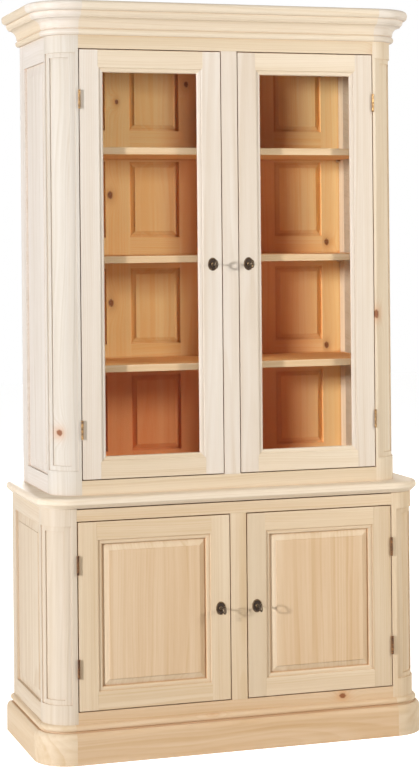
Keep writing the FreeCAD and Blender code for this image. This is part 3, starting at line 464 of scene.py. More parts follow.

# %% [markdown]
# ## The pine recipe
# One recipe takes the spring and summer colours, the way the grain runs, and a seed that says
# where in the log the board was cut. In the quirks of the mouldings and in corners the colour is
# darkened by painted shade, with some old wax. It could be painted on by hand, but an ambient
# occlusion node finds those places on every board. Sharp edges are softened by a bevel node, which
# leaves the mesh as it is.

# %% Pine recipe
# A dark orange laid into corners and quirks: painted shade, with some old wax
SHADE_AND_WAX_TINT = (0.74, 0.46, 0.26, 1.0)
KNOT_HALO, KNOT_CORE = colour(196, 132, 74), colour(128, 70, 34)
HALO_STAIN, CORE_STAIN = 0.55, 0.9
WHOLE = 10.0
LOG_PLACES = ((-0.12, 0.12), (0.03, 0.14), (0.0, 40.0))
SHADES = (("Streak", 0.3, 0.7, 0.3), ("Fibre", 0.45, 0.75, 0.14), ("Cloud", 0.35, 0.7, 0.26))
BOARD_TONES = (-0.1, 0.16)
CORNER_SHADE_REACH, CORNER_SHADE_FULL = 0.011, 0.25
WAX_ROUGH, WAX_SHEEN = (0.5, 0.66), 0.3
EDGE_ROUND, GRAIN_STRENGTH, GRAIN_DEPTH = 0.0012, 0.25, 0.0004


def pine(name, spring, summer, order, seed, board=WHOLE, ring=0.0062, stripe=0.4, knots=(),
         shade_and_wax=0.85, open_air=0.85, red_shade=False):
    """A pine material; knots are (x, y, z, radius) in metres, in the cabinet's own axes.

    Board is the width between glue lines, or WHOLE. Painted shade, with some old wax, darkens a
    point that sees less of the air round it than the share open_air."""
    material, graph, shader, position = new_material(name)
    along = grain_place(graph, position, order)
    chance = np.random.default_rng(seed)
    log = tuple(float(chance.uniform(*ends)) for ends in LOG_PLACES)
    core, halo, push = None, None, 0.0
    for x, y, z, radius in knots:
        centre = [(x, y, z)[axis] for axis in ORDERS[order]]
        knot = use_group(graph, "pine_knot", Position=along, Centre=centre, Radius=radius)
        core = knot["Core"] if core is None else graph.math("MAXIMUM", core, knot["Core"])
        halo = knot["Halo"] if halo is None else graph.math("MAXIMUM", halo, knot["Halo"])
        push = graph.math("ADD", push, knot["Push"])
    grain = use_group(graph, "pine_grain", Position=along, Log_Offset=log, Board_Width=board,
                      Ring_Width=ring, Knot_Push=push)
    late = graph.math("MULTIPLY", grain["Latewood"], stripe)
    for title, low, high, lift in SHADES:
        late = graph.math("ADD", late, graph.ramp(grain[title], low, high, 0.0, lift))
    tone = graph.ramp(grain["Tone"], 0.0, 1.0, *BOARD_TONES, smooth=False)
    late = graph.math("ADD", late, tone, clamp=True)
    paint = graph.mix(late, spring, summer)
    if red_shade:
        # Painted shade: the middle of the back and the left of its lowest row are multiplied by a
        # red
        paint = graph.mix(painted_shade_share(graph, position), paint, PAINTED_SHADE_RED, "MULTIPLY")
    if core is not None:
        paint = graph.mix(graph.math("MULTIPLY", halo, HALO_STAIN), paint, KNOT_HALO)
        paint = graph.mix(graph.math("MULTIPLY", core, CORE_STAIN), paint, KNOT_CORE)
    # Painted shade, with some old wax: the colour darkens where the ambient occlusion node finds
    # corners
    corner = graph.add("AmbientOcclusion", samples=4)
    corner.inputs["Distance"].default_value = CORNER_SHADE_REACH
    shade_and_wax_share = graph.ramp(corner.outputs["AO"], CORNER_SHADE_FULL, open_air, shade_and_wax, 0.0)
    paint = graph.mix(shade_and_wax_share, paint, SHADE_AND_WAX_TINT, "MULTIPLY")
    graph.put(shader.inputs["Base Color"], paint)
    graph.put(shader.inputs["Roughness"], graph.ramp(grain["Fibre"], 0.3, 0.7, *WAX_ROUGH))
    shader.inputs["Specular IOR Level"].default_value = WAX_SHEEN
    edge = graph.add("Bevel", samples=4)
    edge.inputs["Radius"].default_value = EDGE_ROUND
    height = graph.math("ADD", grain["Fibre"], grain["Latewood"])
    add_bump(graph, shader, height, GRAIN_STRENGTH, GRAIN_DEPTH, edge.outputs[0])
    return material


print("pine recipe ready")

# %% [markdown]
# ## Giving boards their finish
# Every board comes with a plain material, which is taken off first. A board of one cut gets one
# finish. A group of boards gets several, and each of its faces picks one by where its middle
# lies. The boards could be cut apart instead, but the frame's meshes are left as they came.


# %% Finish helpers
def finish(name, *materials):
    """Gives a node these materials in place of those that it came with."""
    mesh = nodes[name].data
    mesh.materials.clear()
    for material in materials:
        mesh.materials.append(material)
    return mesh


def face_centres(mesh):
    """The middle of every face as an array of x, y, z."""
    centres = np.empty(len(mesh.polygons) * 3)
    mesh.polygons.foreach_get("center", centres)
    return centres.reshape(-1, 3)


def finish_by(name, choice, *materials):
    """Gives each face the material whose number choice works out from the faces' middles."""
    mesh = finish(name, *materials)
    index = np.asarray(choice(face_centres(mesh)), dtype=np.int32)
    mesh.polygons.foreach_set("material_index", index)
    mesh.update()


print("nodes to finish:", len(nodes))

# %% [markdown]
# ## Pine colours
# Each tint is a pair, for spring and for summer wood. Every board could have a pair of its own,
# but a joiner cuts several pieces from one plank, so pieces that belong together share a tint,
# and the seed sets them apart.

# %% Pine colours
WHITE_PINE = (colour(225, 215, 204), colour(208, 191, 171))
CREAM_PINE = (colour(226, 211, 190), colour(208, 186, 156))
FRIEZE_PINE = (colour(222, 206, 182), colour(204, 180, 147))
CORNICE_PINE = (colour(230, 217, 198), colour(213, 193, 166))
WAIST_PINE = (colour(235, 221, 202), colour(219, 199, 172))
WARM_PINE = (colour(221, 201, 174), colour(201, 172, 134))
TAN_PINE = (colour(218, 192, 161), colour(197, 161, 119))
POST_PINE = (colour(213, 205, 195), colour(195, 182, 164))
BASE_POST_PINE = (colour(215, 201, 184), colour(194, 174, 147))
SIDE_PINE = (colour(222, 213, 204), colour(204, 190, 174))
BASE_SIDE_PINE = (colour(214, 198, 176), colour(193, 168, 138))
SHELF_PINE = (colour(219, 191, 156), colour(199, 163, 120))
WALL_PINE = (colour(224, 208, 184), colour(204, 182, 150))
DIM_WARM_PINE = (colour(212, 192, 165), colour(192, 163, 126))
HONEY_PINE = (colour(248, 198, 130), colour(240, 168, 92))
BACK_PINE = (colour(254, 224, 164), colour(248, 196, 122))
print("palest and deepest spring wood:", WAIST_PINE[0][:3], HONEY_PINE[0][:3])

# %% [markdown]
# ## Boards of the outside
# Grain always runs along a board: up the posts, stiles and panels, across the rails, the cornice,
# the waist and the plinth, and to the back on the mouldings of the sides. Knots could fall where
# a noise puts them, but the picture shows where the larger ones are, so each is given as a place
# in the cabinet and a radius.

# %% Outside boards
# How much painted shade, with some old wax, lies in the corners of the outside boards
FACE_SHADE_AND_WAX = 0.4
OUTSIDE_BOARDS = [
    ("cornice_front", CORNICE_PINE, "across"),
    ("cornice_corners", WHITE_PINE, "across"),
    ("cornice_sides", CREAM_PINE, "deep"),
    ("upper_top_rail", FRIEZE_PINE, "across"),
    ("upper_bottom_rail", FRIEZE_PINE, "across"),
    ("upper_centre_stile", WHITE_PINE, "upright"),
    ("waist_board", WAIST_PINE, "across"),
    ("base_top_rail", WARM_PINE, "across"),
    ("base_bottom_rail", TAN_PINE, "across"),
    ("base_centre_stile", WARM_PINE, "upright"),
    ("plinth_front", TAN_PINE, "across"),
    ("plinth_corners", WARM_PINE, "across"),
    ("plinth_sides", WARM_PINE, "deep"),
]
OUTSIDE_KNOTS = {
    "upper_top_rail": [(0.471, -0.154, 2.030, 0.009)],
    "base_bottom_rail": [(0.318, -0.201, 0.128, 0.008)],
    "plinth_front": [(-0.084, -0.223, 0.120, 0.007)],
}
for number, (name, tint, order) in enumerate(OUTSIDE_BOARDS):
    knots = OUTSIDE_KNOTS.get(name, ())
    finish(name, pine(f"pine_{name}", *tint, order, 10 + number, knots=knots, shade_and_wax=FACE_SHADE_AND_WAX))
print("outside boards:", len(OUTSIDE_BOARDS))

# %% [markdown]
# ## Corner posts
# The two posts of a case are a pair and one node. In the picture the left one is greyer. A cooler
# lamp could do that, but it would tint the doors as well, so each side of the middle gets a
# finish of its own. The rounded posts get only a little painted shade and old wax in their corners.

# %% Corner posts
# A little painted shade, with some old wax, in the corners of the posts and the sides
FAINT_SHADE_AND_WAX = 0.3
POSTS = [
    # case, tint of the left and the right post, knots of the left and the right post
    ("upper", POST_PINE, CREAM_PINE,
     [(-0.507, -0.154, 0.925, 0.007)], [(0.457, -0.154, 1.245, 0.010)]),
    ("base", BASE_POST_PINE, WARM_PINE, (), ()),
]
for case, left_tint, right_tint, left_knots, right_knots in POSTS:
    finish_by(f"{case}_corner_posts", lambda spot: spot[:, 0] > 0.0,
              pine(f"pine_{case}_left_post", *left_tint, "upright", 36,
                   knots=left_knots, shade_and_wax=FAINT_SHADE_AND_WAX),
              pine(f"pine_{case}_right_post", *right_tint, "upright", 37,
                   knots=right_knots, shade_and_wax=FAINT_SHADE_AND_WAX))
print("pairs of posts:", len(POSTS))

# %% [markdown]
# ## Sides
# A side is a frame of a rear stile and two rails with a raised panel. Outside it has bleached
# like the rest, and inside it is warmer. Thin skins on the inside would show that too, but they
# would be pieces that the real cabinet does not have. So a face is shared out twice over: by
# whether it lies in the stile or a rail, and by whether it looks out of the case or into it.

# %% Sides
Y_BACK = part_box("base_back")[1].y
FRAME_INSIDE, PANEL_INSIDE, SIDE_BOARD = 0.021, 0.0135, 0.085
SIDES = [
    # case, tint outside and inside, width of the rear stile
    ("upper", SIDE_PINE, WALL_PINE, 0.060),
    ("base", BASE_SIDE_PINE, TAN_PINE, 0.044),
]
for case, tint, inside, stile in SIDES:
    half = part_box(f"{case}_side_frames")[1].x

    def rail_and_inside(spot):
        """0 for a stile, 1 for a rail, and 2 more for a face that looks into the case."""
        return (spot[:, 1] < Y_BACK - stile) + 2 * (np.abs(spot[:, 0]) < half - FRAME_INSIDE)

    finish_by(f"{case}_side_frames", rail_and_inside,
              pine(f"pine_{case}_side_stiles", *tint, "side_upright", 40, shade_and_wax=FAINT_SHADE_AND_WAX),
              pine(f"pine_{case}_side_rails", *tint, "deep", 41, shade_and_wax=FAINT_SHADE_AND_WAX),
              pine(f"pine_{case}_side_stiles_inside", *inside, "side_upright", 40),
              pine(f"pine_{case}_side_rails_inside", *inside, "deep", 41))
    finish_by(f"{case}_side_panels", lambda spot: np.abs(spot[:, 0]) < half - PANEL_INSIDE,
              pine(f"pine_{case}_side_panels", *tint, "side_upright", 42,
                   board=SIDE_BOARD, shade_and_wax=FAINT_SHADE_AND_WAX),
              pine(f"pine_{case}_side_panels_inside", *inside, "side_upright", 42,
                   board=SIDE_BOARD))
print("pairs of sides:", len(SIDES))

# %% [markdown]
# ## Door frames
# Each door is a frame of two stiles and two rails with a moulded inner edge, mitred at the
# corners. A face belongs to a stile if it lies nearer to the door's upright edges, less the width
# of the stile, than to its ends, less the width of the rail. The line between them then runs down
# the mitre, where a straight cut at the rail's end would leave a step in the moulding.

# %% Door frames
HANDS = ("left", "right")
DOORS = [
    # case, tints of the left and the right door's stiles, tint of the rails, width of a stile and
    #     # of a rail, painted shade and wax in the corners, share of open air from which there is
    #     none
    ("upper", (WHITE_PINE, WHITE_PINE), CREAM_PINE, 0.0535, 0.0475, 0.25, 0.85),
    ("base", (WARM_PINE, DIM_WARM_PINE), WARM_PINE, 0.0545, 0.0485, 0.9, 0.97),
]


def stile_or_rail(low, high, stile, rail):
    """0 for a face of a stile and 1 for one of a rail, split at the mitre of the moulding."""
    def choose(spot):
        across = np.minimum(spot[:, 0] - low.x, high.x - spot[:, 0]) - stile
        upward = np.minimum(spot[:, 2] - low.z, high.z - spot[:, 2]) - rail
        return (across > 0) & (across > upward)
    return choose


for number, (case, tints, rail_tint, stile, rail, shade_and_wax, open_air) in enumerate(DOORS):
    # Painted shade, with some old wax, in the corners of the door frames
    corner_shade_and_wax = {"shade_and_wax": shade_and_wax, "open_air": open_air}
    for turn, hand in enumerate(HANDS):
        seed = 50 + 10 * number + 3 * turn
        name = f"{case}_{hand}_door_frame"
        finish_by(name, stile_or_rail(*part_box(name), stile, rail),
                  pine(f"pine_{case}_{hand}_stiles", *tints[turn], "upright", seed, **corner_shade_and_wax),
                  pine(f"pine_{case}_{hand}_rails", *rail_tint, "across", seed + 1, **corner_shade_and_wax))
print("door frames:", 2 * len(DOORS))

# %% [markdown]
# ## Door panels and glazing beads
# The panels of the base are glued up from boards 75 mm wide with a wide, faint grain. Their
# left, upper and lower bevels catch more light from the lamps and the floor, and that light is
# painted in as a paler finish. One finish for all would be simpler, but the bevels are what shows
# that the panel is raised. The beads behind the panes are cut like small frames.

# %% Door panels and glazing beads
LIT_BEVEL_REACH, BEAD = 0.040, 0.007
PANEL_CUT = {"board": 0.075, "ring": 0.008, "stripe": 0.3}


def painted_light_bevel(low, high):
    """1 for a face of a panel's left, upper or lower bevel, which takes a paler finish as painted
    light, else 0.
    """
    def choose(spot):
        ends = np.minimum(spot[:, 2] - low.z, high.z - spot[:, 2])
        return np.minimum(spot[:, 0] - low.x, ends) < LIT_BEVEL_REACH
    return choose


for turn, hand in enumerate(HANDS):
    panel = f"base_{hand}_door_panel"
    # The left, upper and lower bevels take the paler finish: painted light
    finish_by(panel, painted_light_bevel(*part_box(panel)),
              pine(f"pine_{hand}_panel", *TAN_PINE, "upright", 80 + turn, **PANEL_CUT),
              pine(f"pine_{hand}_panel_lit_bevels", *WARM_PINE, "upright", 80 + turn, **PANEL_CUT))
    beads = f"upper_{hand}_door_glazing_beads"
    finish_by(beads, stile_or_rail(*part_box(beads), BEAD, BEAD),
              pine(f"pine_{hand}_beads_up", *CREAM_PINE, "upright", 84 + turn),
              pine(f"pine_{hand}_beads_across", *CREAM_PINE, "across", 86 + turn))
print("door panels and sets of beads:", 2 * len(HANDS))

# %% [markdown]
# ## The framed back
# The back has five stiles with short rails and raised panels between them. Behind glass, away
# from the light, the wood is deep honey. A few knots sit where the stiles show them. Each stile
# and rail could be a node of its own, but the frame brings them as one, so they are told apart by
# columns: a face that lies between two stiles belongs to a rail.

# %% Framed back
OUTER_STILE, INNER_STILE, COLUMNS = 0.060, 0.077, 4
BACK_KNOTS = [
    (-0.259, 0.229, 1.610, 0.009), (-0.259, 0.229, 1.280, 0.009), (0.448, 0.229, 1.460, 0.008),
    (0.445, 0.229, 1.134, 0.008), (-0.013, 0.229, 1.952, 0.007), (-0.236, 0.229, 1.895, 0.006),
]
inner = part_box("back_frame")[1].x
panel_width = (2 * inner - 2 * OUTER_STILE - (COLUMNS - 1) * INNER_STILE) / COLUMNS
panel_lefts = OUTER_STILE - inner + np.arange(COLUMNS) * (panel_width + INNER_STILE)


def in_a_panel_column(spot):
    """1 for a face between two stiles of the back, where the short rails are, else 0."""
    between = [(spot[:, 0] > left) & (spot[:, 0] < left + panel_width) for left in panel_lefts]
    return np.any(between, axis=0)


finish_by("back_frame", in_a_panel_column,
          pine("pine_back_stiles", *BACK_PINE, "upright", 90, knots=BACK_KNOTS, red_shade=True),
          pine("pine_back_rails", *BACK_PINE, "across", 91, red_shade=True))
half_column = panel_width / 2 + INNER_STILE / 2
finish("back_panels",
       pine("pine_back_panels", *BACK_PINE, "upright", 92, board=half_column, red_shade=True))
print("columns of the back:", COLUMNS, "panel width:", round(panel_width, 4))

# %% [markdown]
# ## Shelves, floors and top
# Most other boards of the inside run across, and the wide ones are glued up. The shelves' front
# edges and the top's upper face have had more light than the rest of their boards, so they are
# paler. They could be thin boards of their own, but a face is told well enough by how far it lies
# from the shelf's front or from the top of the case.

# %% Shelves, floors and top
TOP_SKIN, SHELF_EDGE, WIDE_BOARD, BACK_BOARD = 0.001, 0.006, 0.11, 0.12
INSIDE_BOARDS = [
    ("base_shelf", TAN_PINE, "across", WHOLE),
    ("upper_floor", HONEY_PINE, "across", WIDE_BOARD),
    ("base_floor", TAN_PINE, "across", WIDE_BOARD),
    ("base_back", TAN_PINE, "upright", BACK_BOARD),
    ("shelf_pegs", TAN_PINE, "across", WHOLE),
]
for number, (name, tint, order, board) in enumerate(INSIDE_BOARDS):
    finish(name, pine(f"pine_{name}", *tint, order, 100 + number, board=board))
top_of_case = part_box("upper_top")[1].z
finish_by("upper_top", lambda spot: spot[:, 2] < top_of_case - TOP_SKIN,
          pine("pine_top_upper_face", *CREAM_PINE, "across", 106, board=WIDE_BOARD),
          pine("pine_top_underside", *HONEY_PINE, "across", 106, board=WIDE_BOARD))
shelf_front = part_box("shelves")[0].y
finish_by("shelves", lambda spot: spot[:, 1] < shelf_front + SHELF_EDGE,
          pine("pine_shelf_boards", *HONEY_PINE, "across", 100),
          pine("pine_shelf_edges", *SHELF_PINE, "across", 100))
print("inside boards:", len(INSIDE_BOARDS) + 2)

# %% [markdown]
# ## Tarnish
# The hinges, the keys and the plates round the keyholes are old brass and iron: dark in the
# hollows, rubbed brighter where hands touch. A plain metal would look new. One group gives the
# tarnish as a mask of two noises, with fine scratches beside it, and each metal uses it with its
# own colours.

# %% Tarnish group
BLOTCHES, SPOTS, SCRATCHES = 120.0, 900.0, (1800.0, 1800.0, 90.0)
BLOTCH_SHARE, SPOT_SHARE = 0.75, 0.25
TARNISH_START, TARNISH_SPREAD = 0.85, 0.3


def tarnish_group():
    """Tarnish = slow noise lifted by fine noise; Scratch is fine noise drawn out along Z."""
    graph, given, made = new_group("tarnish", [
        ("Position", "Vector", (0.0, 0.0, 0.0)), ("Cover", "Float", 0.5),
    ], [("Tarnish", "Float"), ("Scratch", "Float")])
    blotch = graph.noise(given.outputs["Position"], 4.0, 0.6, BLOTCHES)[0]
    spots = graph.noise(given.outputs["Position"], 2.0, 0.5, SPOTS)[0]
    blotch = graph.math("MULTIPLY", blotch, BLOTCH_SHARE)
    both = graph.math("ADD", blotch, graph.math("MULTIPLY", spots, SPOT_SHARE))
    start = graph.math("SUBTRACT", TARNISH_START, given.outputs["Cover"])
    end = graph.math("ADD", start, TARNISH_SPREAD)
    graph.put(made.inputs["Tarnish"], graph.ramp(both, start, end))
    drawn = graph.vector("MULTIPLY", given.outputs["Position"], SCRATCHES)
    graph.put(made.inputs["Scratch"], graph.noise(drawn, 2.0)[0])
    return graph.tree


print("group:", tarnish_group().name)

# %% [markdown]
# ## Metals
# Worked metal is bright with tarnish over it. The cast plates differ: their hollows stay dark and
# only the raised parts are rubbed, so that recipe reads the height that is stored at each of
# their points. A mask by pointiness could do the same, but it depends on how finely the mesh is
# cut.

# %% Metals
SCRATCH_STRENGTH, SCRATCH_DEPTH = 0.2, 0.0002
TARNISH_ROUGH, TARNISH_METALLIC = 0.25, 0.55
CAST_COVER, CAST_BARE, RUBBED_FROM = 0.45, (1.0, 0.45), (0.3, 0.9)
HOLLOW_METALLIC, CAST_ROUGH = 0.5, (0.6, 0.32)


def old_metal(name, bright, dark, cover, rough):
    """Bright metal under tarnish; the tarnish is darker, rougher and less metallic."""
    material, graph, shader, position = new_material(name)
    skin = use_group(graph, "tarnish", Position=position, Cover=cover)
    graph.put(shader.inputs["Base Color"], graph.mix(skin["Tarnish"], bright, dark))
    metallic = graph.ramp(skin["Tarnish"], 0.0, 1.0, 1.0, TARNISH_METALLIC)
    graph.put(shader.inputs["Metallic"], metallic)
    roughness = graph.ramp(skin["Tarnish"], 0.0, 1.0, rough, rough + TARNISH_ROUGH)
    graph.put(shader.inputs["Roughness"], roughness)
    add_bump(graph, shader, skin["Scratch"], SCRATCH_STRENGTH, SCRATCH_DEPTH)
    return material


def cast_brass(name, rubbed, hollow):
    """Cast brass, rubbed bright where its relief stands high and still dark in the hollows."""
    material, graph, shader, position = new_material(name)
    relief = graph.add("Attribute", attribute_name="relief").outputs["Fac"]
    skin = use_group(graph, "tarnish", Position=position, Cover=CAST_COVER)
    bare = graph.ramp(skin["Tarnish"], 0.0, 1.0, *CAST_BARE)
    worn = graph.math("MULTIPLY", graph.ramp(relief, *RUBBED_FROM), bare)
    graph.put(shader.inputs["Base Color"], graph.mix(worn, hollow, rubbed))
    graph.put(shader.inputs["Metallic"], graph.ramp(worn, 0.0, 1.0, HOLLOW_METALLIC, 1.0))
    graph.put(shader.inputs["Roughness"], graph.ramp(worn, 0.0, 1.0, *CAST_ROUGH))
    add_bump(graph, shader, skin["Scratch"], SCRATCH_STRENGTH, SCRATCH_DEPTH)
    return material


plate_brass = cast_brass("plate_brass", colour(158, 126, 86), colour(46, 32, 22))
hinge_brass = old_metal("hinge_brass", colour(172, 138, 92), colour(92, 64, 40), 0.5, 0.36)
hinge_bronze = old_metal("hinge_bronze", colour(140, 98, 60), colour(66, 40, 24), 0.55, 0.36)
key_iron = old_metal("key_iron", colour(122, 108, 90), colour(58, 44, 33), 0.5, 0.38)
lock_iron = old_metal("lock_iron", colour(126, 121, 114), colour(98, 89, 80), 0.45, 0.42)
metals = (plate_brass, hinge_brass, hinge_bronze, key_iron, lock_iron)
print("metals:", ", ".join(metal.name for metal in metals))

# %% [markdown]
# ## Hinges, locks and keys
# The hinges of the upper part are lighter than those of the base. The leaves on the posts and the
# pins are one node each for both parts of the cabinet. Two metals blended by height would do, but
# the change is sharp, so each face takes the metal of the part that it lies in, above or below
# the waist.

# %% Hinges, locks and keys
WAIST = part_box("waist_board")[0].z
CASES = ("upper", "base")
finish_by("hinge_frame_leaves", lambda spot: spot[:, 2] < WAIST, hinge_brass, hinge_bronze)
finish_by("hinge_pins", lambda spot: spot[:, 2] < WAIST, hinge_brass, hinge_bronze)
hinge_metal = {"upper": hinge_brass, "base": hinge_bronze}
for case in CASES:
    for hand in HANDS:
        finish(f"{case}_{hand}_hinge_leaves", hinge_metal[case])
        finish(f"{case}_{hand}_escutcheon", plate_brass)
        finish(f"{case}_{hand}_key", key_iron)
        finish(f"{case}_{hand}_lock_case", lock_iron)
        finish(f"{case}_{hand}_lock_bolt", lock_iron)
print("doors with fittings:", len(CASES) * len(HANDS))

# %% [markdown]
# ## Panes
# The panes are thin, clear and faintly uneven. With the index of real glass they would mirror the
# white surroundings as a veil, which the picture does not show, so the index is lower. A lamp's
# light goes straight through, because real panes hardly shade a room, while bent light would
# leave bright specks.

# %% Panes
PANE_RIPPLES, PANE_STRENGTH, PANE_DEPTH = 9.0, 0.02, 0.001
PANE_INDEX, PANE_ROUGH = 1.14, 0.02
PANE_TINT, PANE_SHADE = (1.0, 1.0, 0.995, 1.0), (0.99, 0.99, 0.985, 1.0)
pane, graph, shader, position = new_material("clear_pane")
ripple = graph.noise(position, 1.0, 0.5, PANE_RIPPLES)[0]
add_bump(graph, shader, ripple, PANE_STRENGTH, PANE_DEPTH)
shader.inputs["Base Color"].default_value = PANE_TINT
shader.inputs["Roughness"].default_value = PANE_ROUGH
shader.inputs["IOR"].default_value = PANE_INDEX
shader.inputs["Transmission Weight"].default_value = 1.0
rays = graph.add("LightPath").outputs
clear = graph.add("BsdfTransparent")
clear.inputs["Color"].default_value = PANE_SHADE
either = graph.add("MixShader")
straight = graph.math("MAXIMUM", rays["Is Shadow Ray"], rays["Is Diffuse Ray"])
graph.put(either.inputs[0], straight)
graph.put(either.inputs[1], shader.outputs[0])
graph.put(either.inputs[2], clear.outputs[0])
graph.put(pane.node_tree.nodes["Material Output"].inputs["Surface"], either.outputs[0])
for hand in HANDS:
    finish(f"upper_{hand}_door_glass", pane)
print("panes:", len(HANDS))

# %% [markdown]
# ## Surfaces from grids
# The new pieces are closed skins over grids of points. They could be pulled from Blender's own
# shapes, but a grid of points is one array and a formula. The helper joins neighbours into faces,
# welds the seams and the poles, and turns all faces outward.

# %% Surfaces from grids
WELD, SHARP = 1e-7, math.radians(50)


def surface(name, grids, closed_ends, material):
    """One mesh over several grids of points. Each grid closes on itself along its last way, and
    along the way before it too, unless its ends are poles. Faces turn outward by the sign of the
    volume."""
    number = np.arange(grids[..., 0].size).reshape(grids.shape[:3])
    here = number if closed_ends else number[:, :-1]
    ahead = np.roll(number, -1, axis=1) if closed_ends else number[:, 1:]
    beside = [np.roll(rows, -1, axis=2) for rows in (ahead, here)]
    quads = np.stack([here, ahead, *beside], axis=-1).reshape(-1, 4)
    points = grids.reshape(-1, 3)
    corners = points[quads] - points.mean(axis=0)
    halves = np.cross(corners[:, 1], corners[:, 2]) + np.cross(corners[:, 2], corners[:, 3])
    if np.sum(corners[:, 0] * halves) < 0:
        quads = quads[:, ::-1]
    mesh = bpy.data.meshes.new(name)
    mesh.from_pydata(points.tolist(), [], quads.tolist())
    shape = bmesh.new()
    shape.from_mesh(mesh)
    bmesh.ops.remove_doubles(shape, verts=shape.verts, dist=WELD)
    shape.to_mesh(mesh)
    shape.free()
    mesh.polygons.foreach_set("use_smooth", np.ones(len(mesh.polygons), dtype=bool))
    mesh.set_sharp_from_angle(angle=SHARP)
    mesh.materials.append(material)
    piece = bpy.data.objects.new(name, mesh)
    scene.collection.objects.link(piece)
    return piece


print("surface helper ready")

# %% [markdown]
# ## Plates round the keyholes
# Each keyhole has a cast oval plate with a roped rim, a fluted hollow and a ring round the hole.
# It could be carved out of the dome that the frame brings, but a cast relief is a height over a
# flat shape, so it is worked out as one: lines run from the keyhole's outline to the oval, and
# the height is a sum of bell curves along each line. The plate stands for the dome at the same
# place.

# %% Keyhole plates
MM = 0.001
HOLE_ROUND, HOLE_SLOT, HOLE_DROP = 2.8 * MM, 1.6 * MM, 8.4 * MM
LOW, HOLLOW, RING, RIM = 0.6 * MM, 0.24 * MM, 1.7 * MM, 2.0 * MM
FLUTE, WALL = 1.0 * MM, 0.4 * MM
# Middle and width of each bell, as shares of a line from the hole to the oval
RING_BELL, HOLLOW_BELL = (0.09, 0.07), (0.4, 0.2)
FLUTE_BELL, RIM_BELL = (0.5, 0.15), (0.87, 0.07)
LINES, ROWS, FLUTES, ROPES, CROWDING = 132, 25, 16, 40, 0.55
TINY = 1e-6


def bell(value, middle, width):
    """A bell curve: e to the power of minus ((value - middle) / width) squared."""
    return np.exp(-((value - middle) / width) ** 2)


def keyhole_plate(centre, half_width, half_height):
    """Points = hole outline + share * (oval - hole outline), at a height of bells along the share.

    The hole's outline is the larger of a circle and a slot that drops from it, seen from the
    middle. The rim's bell is roped by a cosine round the plate, the hollow's is fluted."""
    steps = np.linspace(-math.pi, math.pi, LINES, endpoint=False)
    angle = steps - CROWDING * np.sin(steps)
    below = np.maximum(np.cos(angle), TINY)
    beside = np.maximum(np.abs(np.sin(angle)), TINY)
    slot = np.minimum(HOLE_SLOT / beside, HOLE_DROP / below)
    reach = np.where(np.cos(angle) > 0, np.maximum(HOLE_ROUND, slot), HOLE_ROUND)
    hole = np.stack([reach * np.sin(angle), -reach * np.cos(angle)], axis=-1)
    oval = np.stack([half_width * np.sin(angle), -half_height * np.cos(angle)], axis=-1)
    share = np.linspace(0.0, 1.0, ROWS)[:, None]
    height = LOW + RING * bell(share, *RING_BELL) - HOLLOW * bell(share, *HOLLOW_BELL)
    height = height + FLUTE * bell(share, *FLUTE_BELL) * (0.5 + 0.5 * np.cos(FLUTES * angle))
    height = height + RIM * bell(share, *RIM_BELL) * (0.72 + 0.28 * np.cos(ROPES * angle))
    height[-1] = WALL
    share = np.concatenate([[[0.0]], share, [[1.0]]])
    height = np.concatenate([np.zeros((1, len(angle))), height, np.zeros((1, len(angle)))])
    flat = hole + share[..., None] * (oval - hole)
    grid = np.stack([flat[..., 0], -height, flat[..., 1]], axis=-1)
    return grid[None] + np.array(centre)


print("plate grid:", ROWS + 2, "by", LINES)

# %% [markdown]
# ## Plates in their places
# Each plate takes its size and place from the dome in the frame, and stands in for it. The metal
# could work out the height from a point's place, but each plate lies elsewhere, so the height of
# the relief is stored at its points for the metal to read.

# %% Plates in their places
for case in CASES:
    for hand in HANDS:
        node = f"{case}_{hand}_escutcheon"
        low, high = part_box(node)
        middle = (low + high) / 2
        half = (high - low) / 2
        grid = keyhole_plate((middle.x, high.y, middle.z), half.x, half.z)
        plate = surface(f"{case}_{hand}_keyhole_plate", grid, True, plate_brass)
        spots = np.empty(len(plate.data.vertices) * 3)
        plate.data.vertices.foreach_get("co", spots)
        relief = plate.data.attributes.new("relief", "FLOAT", "POINT")
        relief.data.foreach_set("value", (high.y - spots[1::3]) / (high.y - low.y))
        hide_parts(node)
        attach(plate, f"{case}_{hand}_door")
print("keyhole plates:", len(CASES) * len(HANDS))

# %% [markdown]
# ## Screw heads
# The slotted heads of screws are too small for the frame's solids. A head could be a cylinder
# with a groove cut out, but cuts leave ragged faces. It is a disc with a groove, so it is drawn
# as a row of chords: each chord is a flat loop over the top and back under the head, and the
# height drops at the groove.

# %% Screw heads
# Chords across the head in radii with their levels, and points along a chord with their heights
ACROSS = np.array([-1.0, -0.92, -0.5, -0.16, -0.16, 0.16, 0.16, 0.5, 0.92, 1.0])
LEVEL = np.array([0.0, 0.7, 1.0, 1.0, 0.15, 0.15, 1.0, 1.0, 0.7, 0.0])
ALONG = np.array([-1.0, -0.85, 0.85, 1.0, 0.85, -0.85])
OVER = np.array([0.0, 1.0, 1.0, 0.0, 0.0, 0.0])


def screw_head(centre, out, groove, radius, proud):
    """A chord at c radii from the middle is sqrt(1 - c^2) radii long each way, at its own level."""
    out, groove = np.array(out, dtype=float), np.array(groove, dtype=float)
    half = np.sqrt(np.maximum(1.0 - ACROSS ** 2, 0.0))
    sideways = radius * ACROSS[:, None, None] * np.cross(out, groove)
    lengthways = radius * (half[:, None] * ALONG)[..., None] * groove
    upward = proud * (LEVEL[:, None] * OVER)[..., None] * out
    return np.array(centre) + sideways + lengthways + upward


def screws(name, heads, body, material):
    """Several heads as one piece that rides on a body."""
    piece = surface(name, np.stack(heads), False, material)
    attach(piece, body)
    return piece.data


print("points of a head:", len(ACROSS) * len(ALONG))

# %% [markdown]
# ## Screws in their places
# Every hinge leaf is held by three screws, sunk almost flush so that the hinge can close, and
# every lock by four. Each head could be an object, but the heads of a door's hinges or of its
# lock are one piece, which rides with the door. Those on the posts stay with the cabinet.

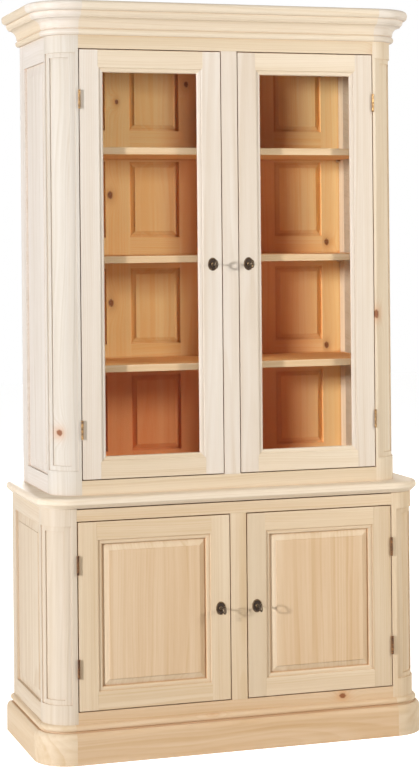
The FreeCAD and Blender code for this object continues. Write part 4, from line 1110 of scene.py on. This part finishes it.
# %% Screws in their places
UP_AXIS, IN_AXIS = (0.0, 0.0, 1.0), (0.0, 1.0, 0.0)
# Screws of a leaf: how far inward of the front, and how far above the hinge's middle
HINGE_SCREWS = [(0.013, -0.017), (0.008, 0.0), (0.013, 0.017)]
HINGE_HEAD, HINGE_PROUD = 3.2 * MM, 0.09 * MM
LOCK_HEAD, LOCK_PROUD, LOCK_INSET = 2.6 * MM, 0.7 * MM, 4.5 * MM
# Hinges of a case: x of the post's edge, y of the front, heights of the hinges' middles
HINGES = {"upper": (0.451, -0.154, (0.934, 1.874)), "base": (0.479, -0.201, (0.266, 0.558))}
GAP, LEAF = 3.0 * MM, 1.3 * MM


def leaf_heads(x, y_front, heights, out):
    """The heads on one leaf of each hinge of a door, on the flat at x that faces out."""
    middles = [(x, y_front + inward, height + upward)
               for height in heights for inward, upward in HINGE_SCREWS]
    facing = (out, 0.0, 0.0)
    return [screw_head(middle, facing, UP_AXIS, HINGE_HEAD, HINGE_PROUD) for middle in middles]


frame_heads = []
for case, (side_edge, y_front, heights) in HINGES.items():
    for hand, sign in zip(HANDS, (-1, 1)):
        door = f"{case}_{hand}_door"
        frame_heads += leaf_heads(sign * (side_edge - LEAF), y_front, heights, -sign)
        door_heads = leaf_heads(sign * (side_edge - GAP + LEAF), y_front, heights, sign)
        screws(f"{case}_{hand}_hinge_screws", door_heads, door, hinge_metal[case])
        low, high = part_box(f"{case}_{hand}_lock_case")
        lock_heads = [screw_head((x, high.y, z), IN_AXIS, UP_AXIS, LOCK_HEAD, LOCK_PROUD)
                      for x in (low.x + LOCK_INSET, high.x - LOCK_INSET)
                      for z in (low.z + LOCK_INSET, high.z - LOCK_INSET)]
        screws(f"{case}_{hand}_lock_screws", lock_heads, door, lock_iron)
post_heads = screws("post_hinge_screws", frame_heads, "cabinet", hinge_brass)
post_heads.materials.append(hinge_bronze)
in_base = face_centres(post_heads)[:, 2] < WAIST
post_heads.polygons.foreach_set("material_index", in_base.astype(np.int32))
print("screws on the posts:", len(frame_heads))
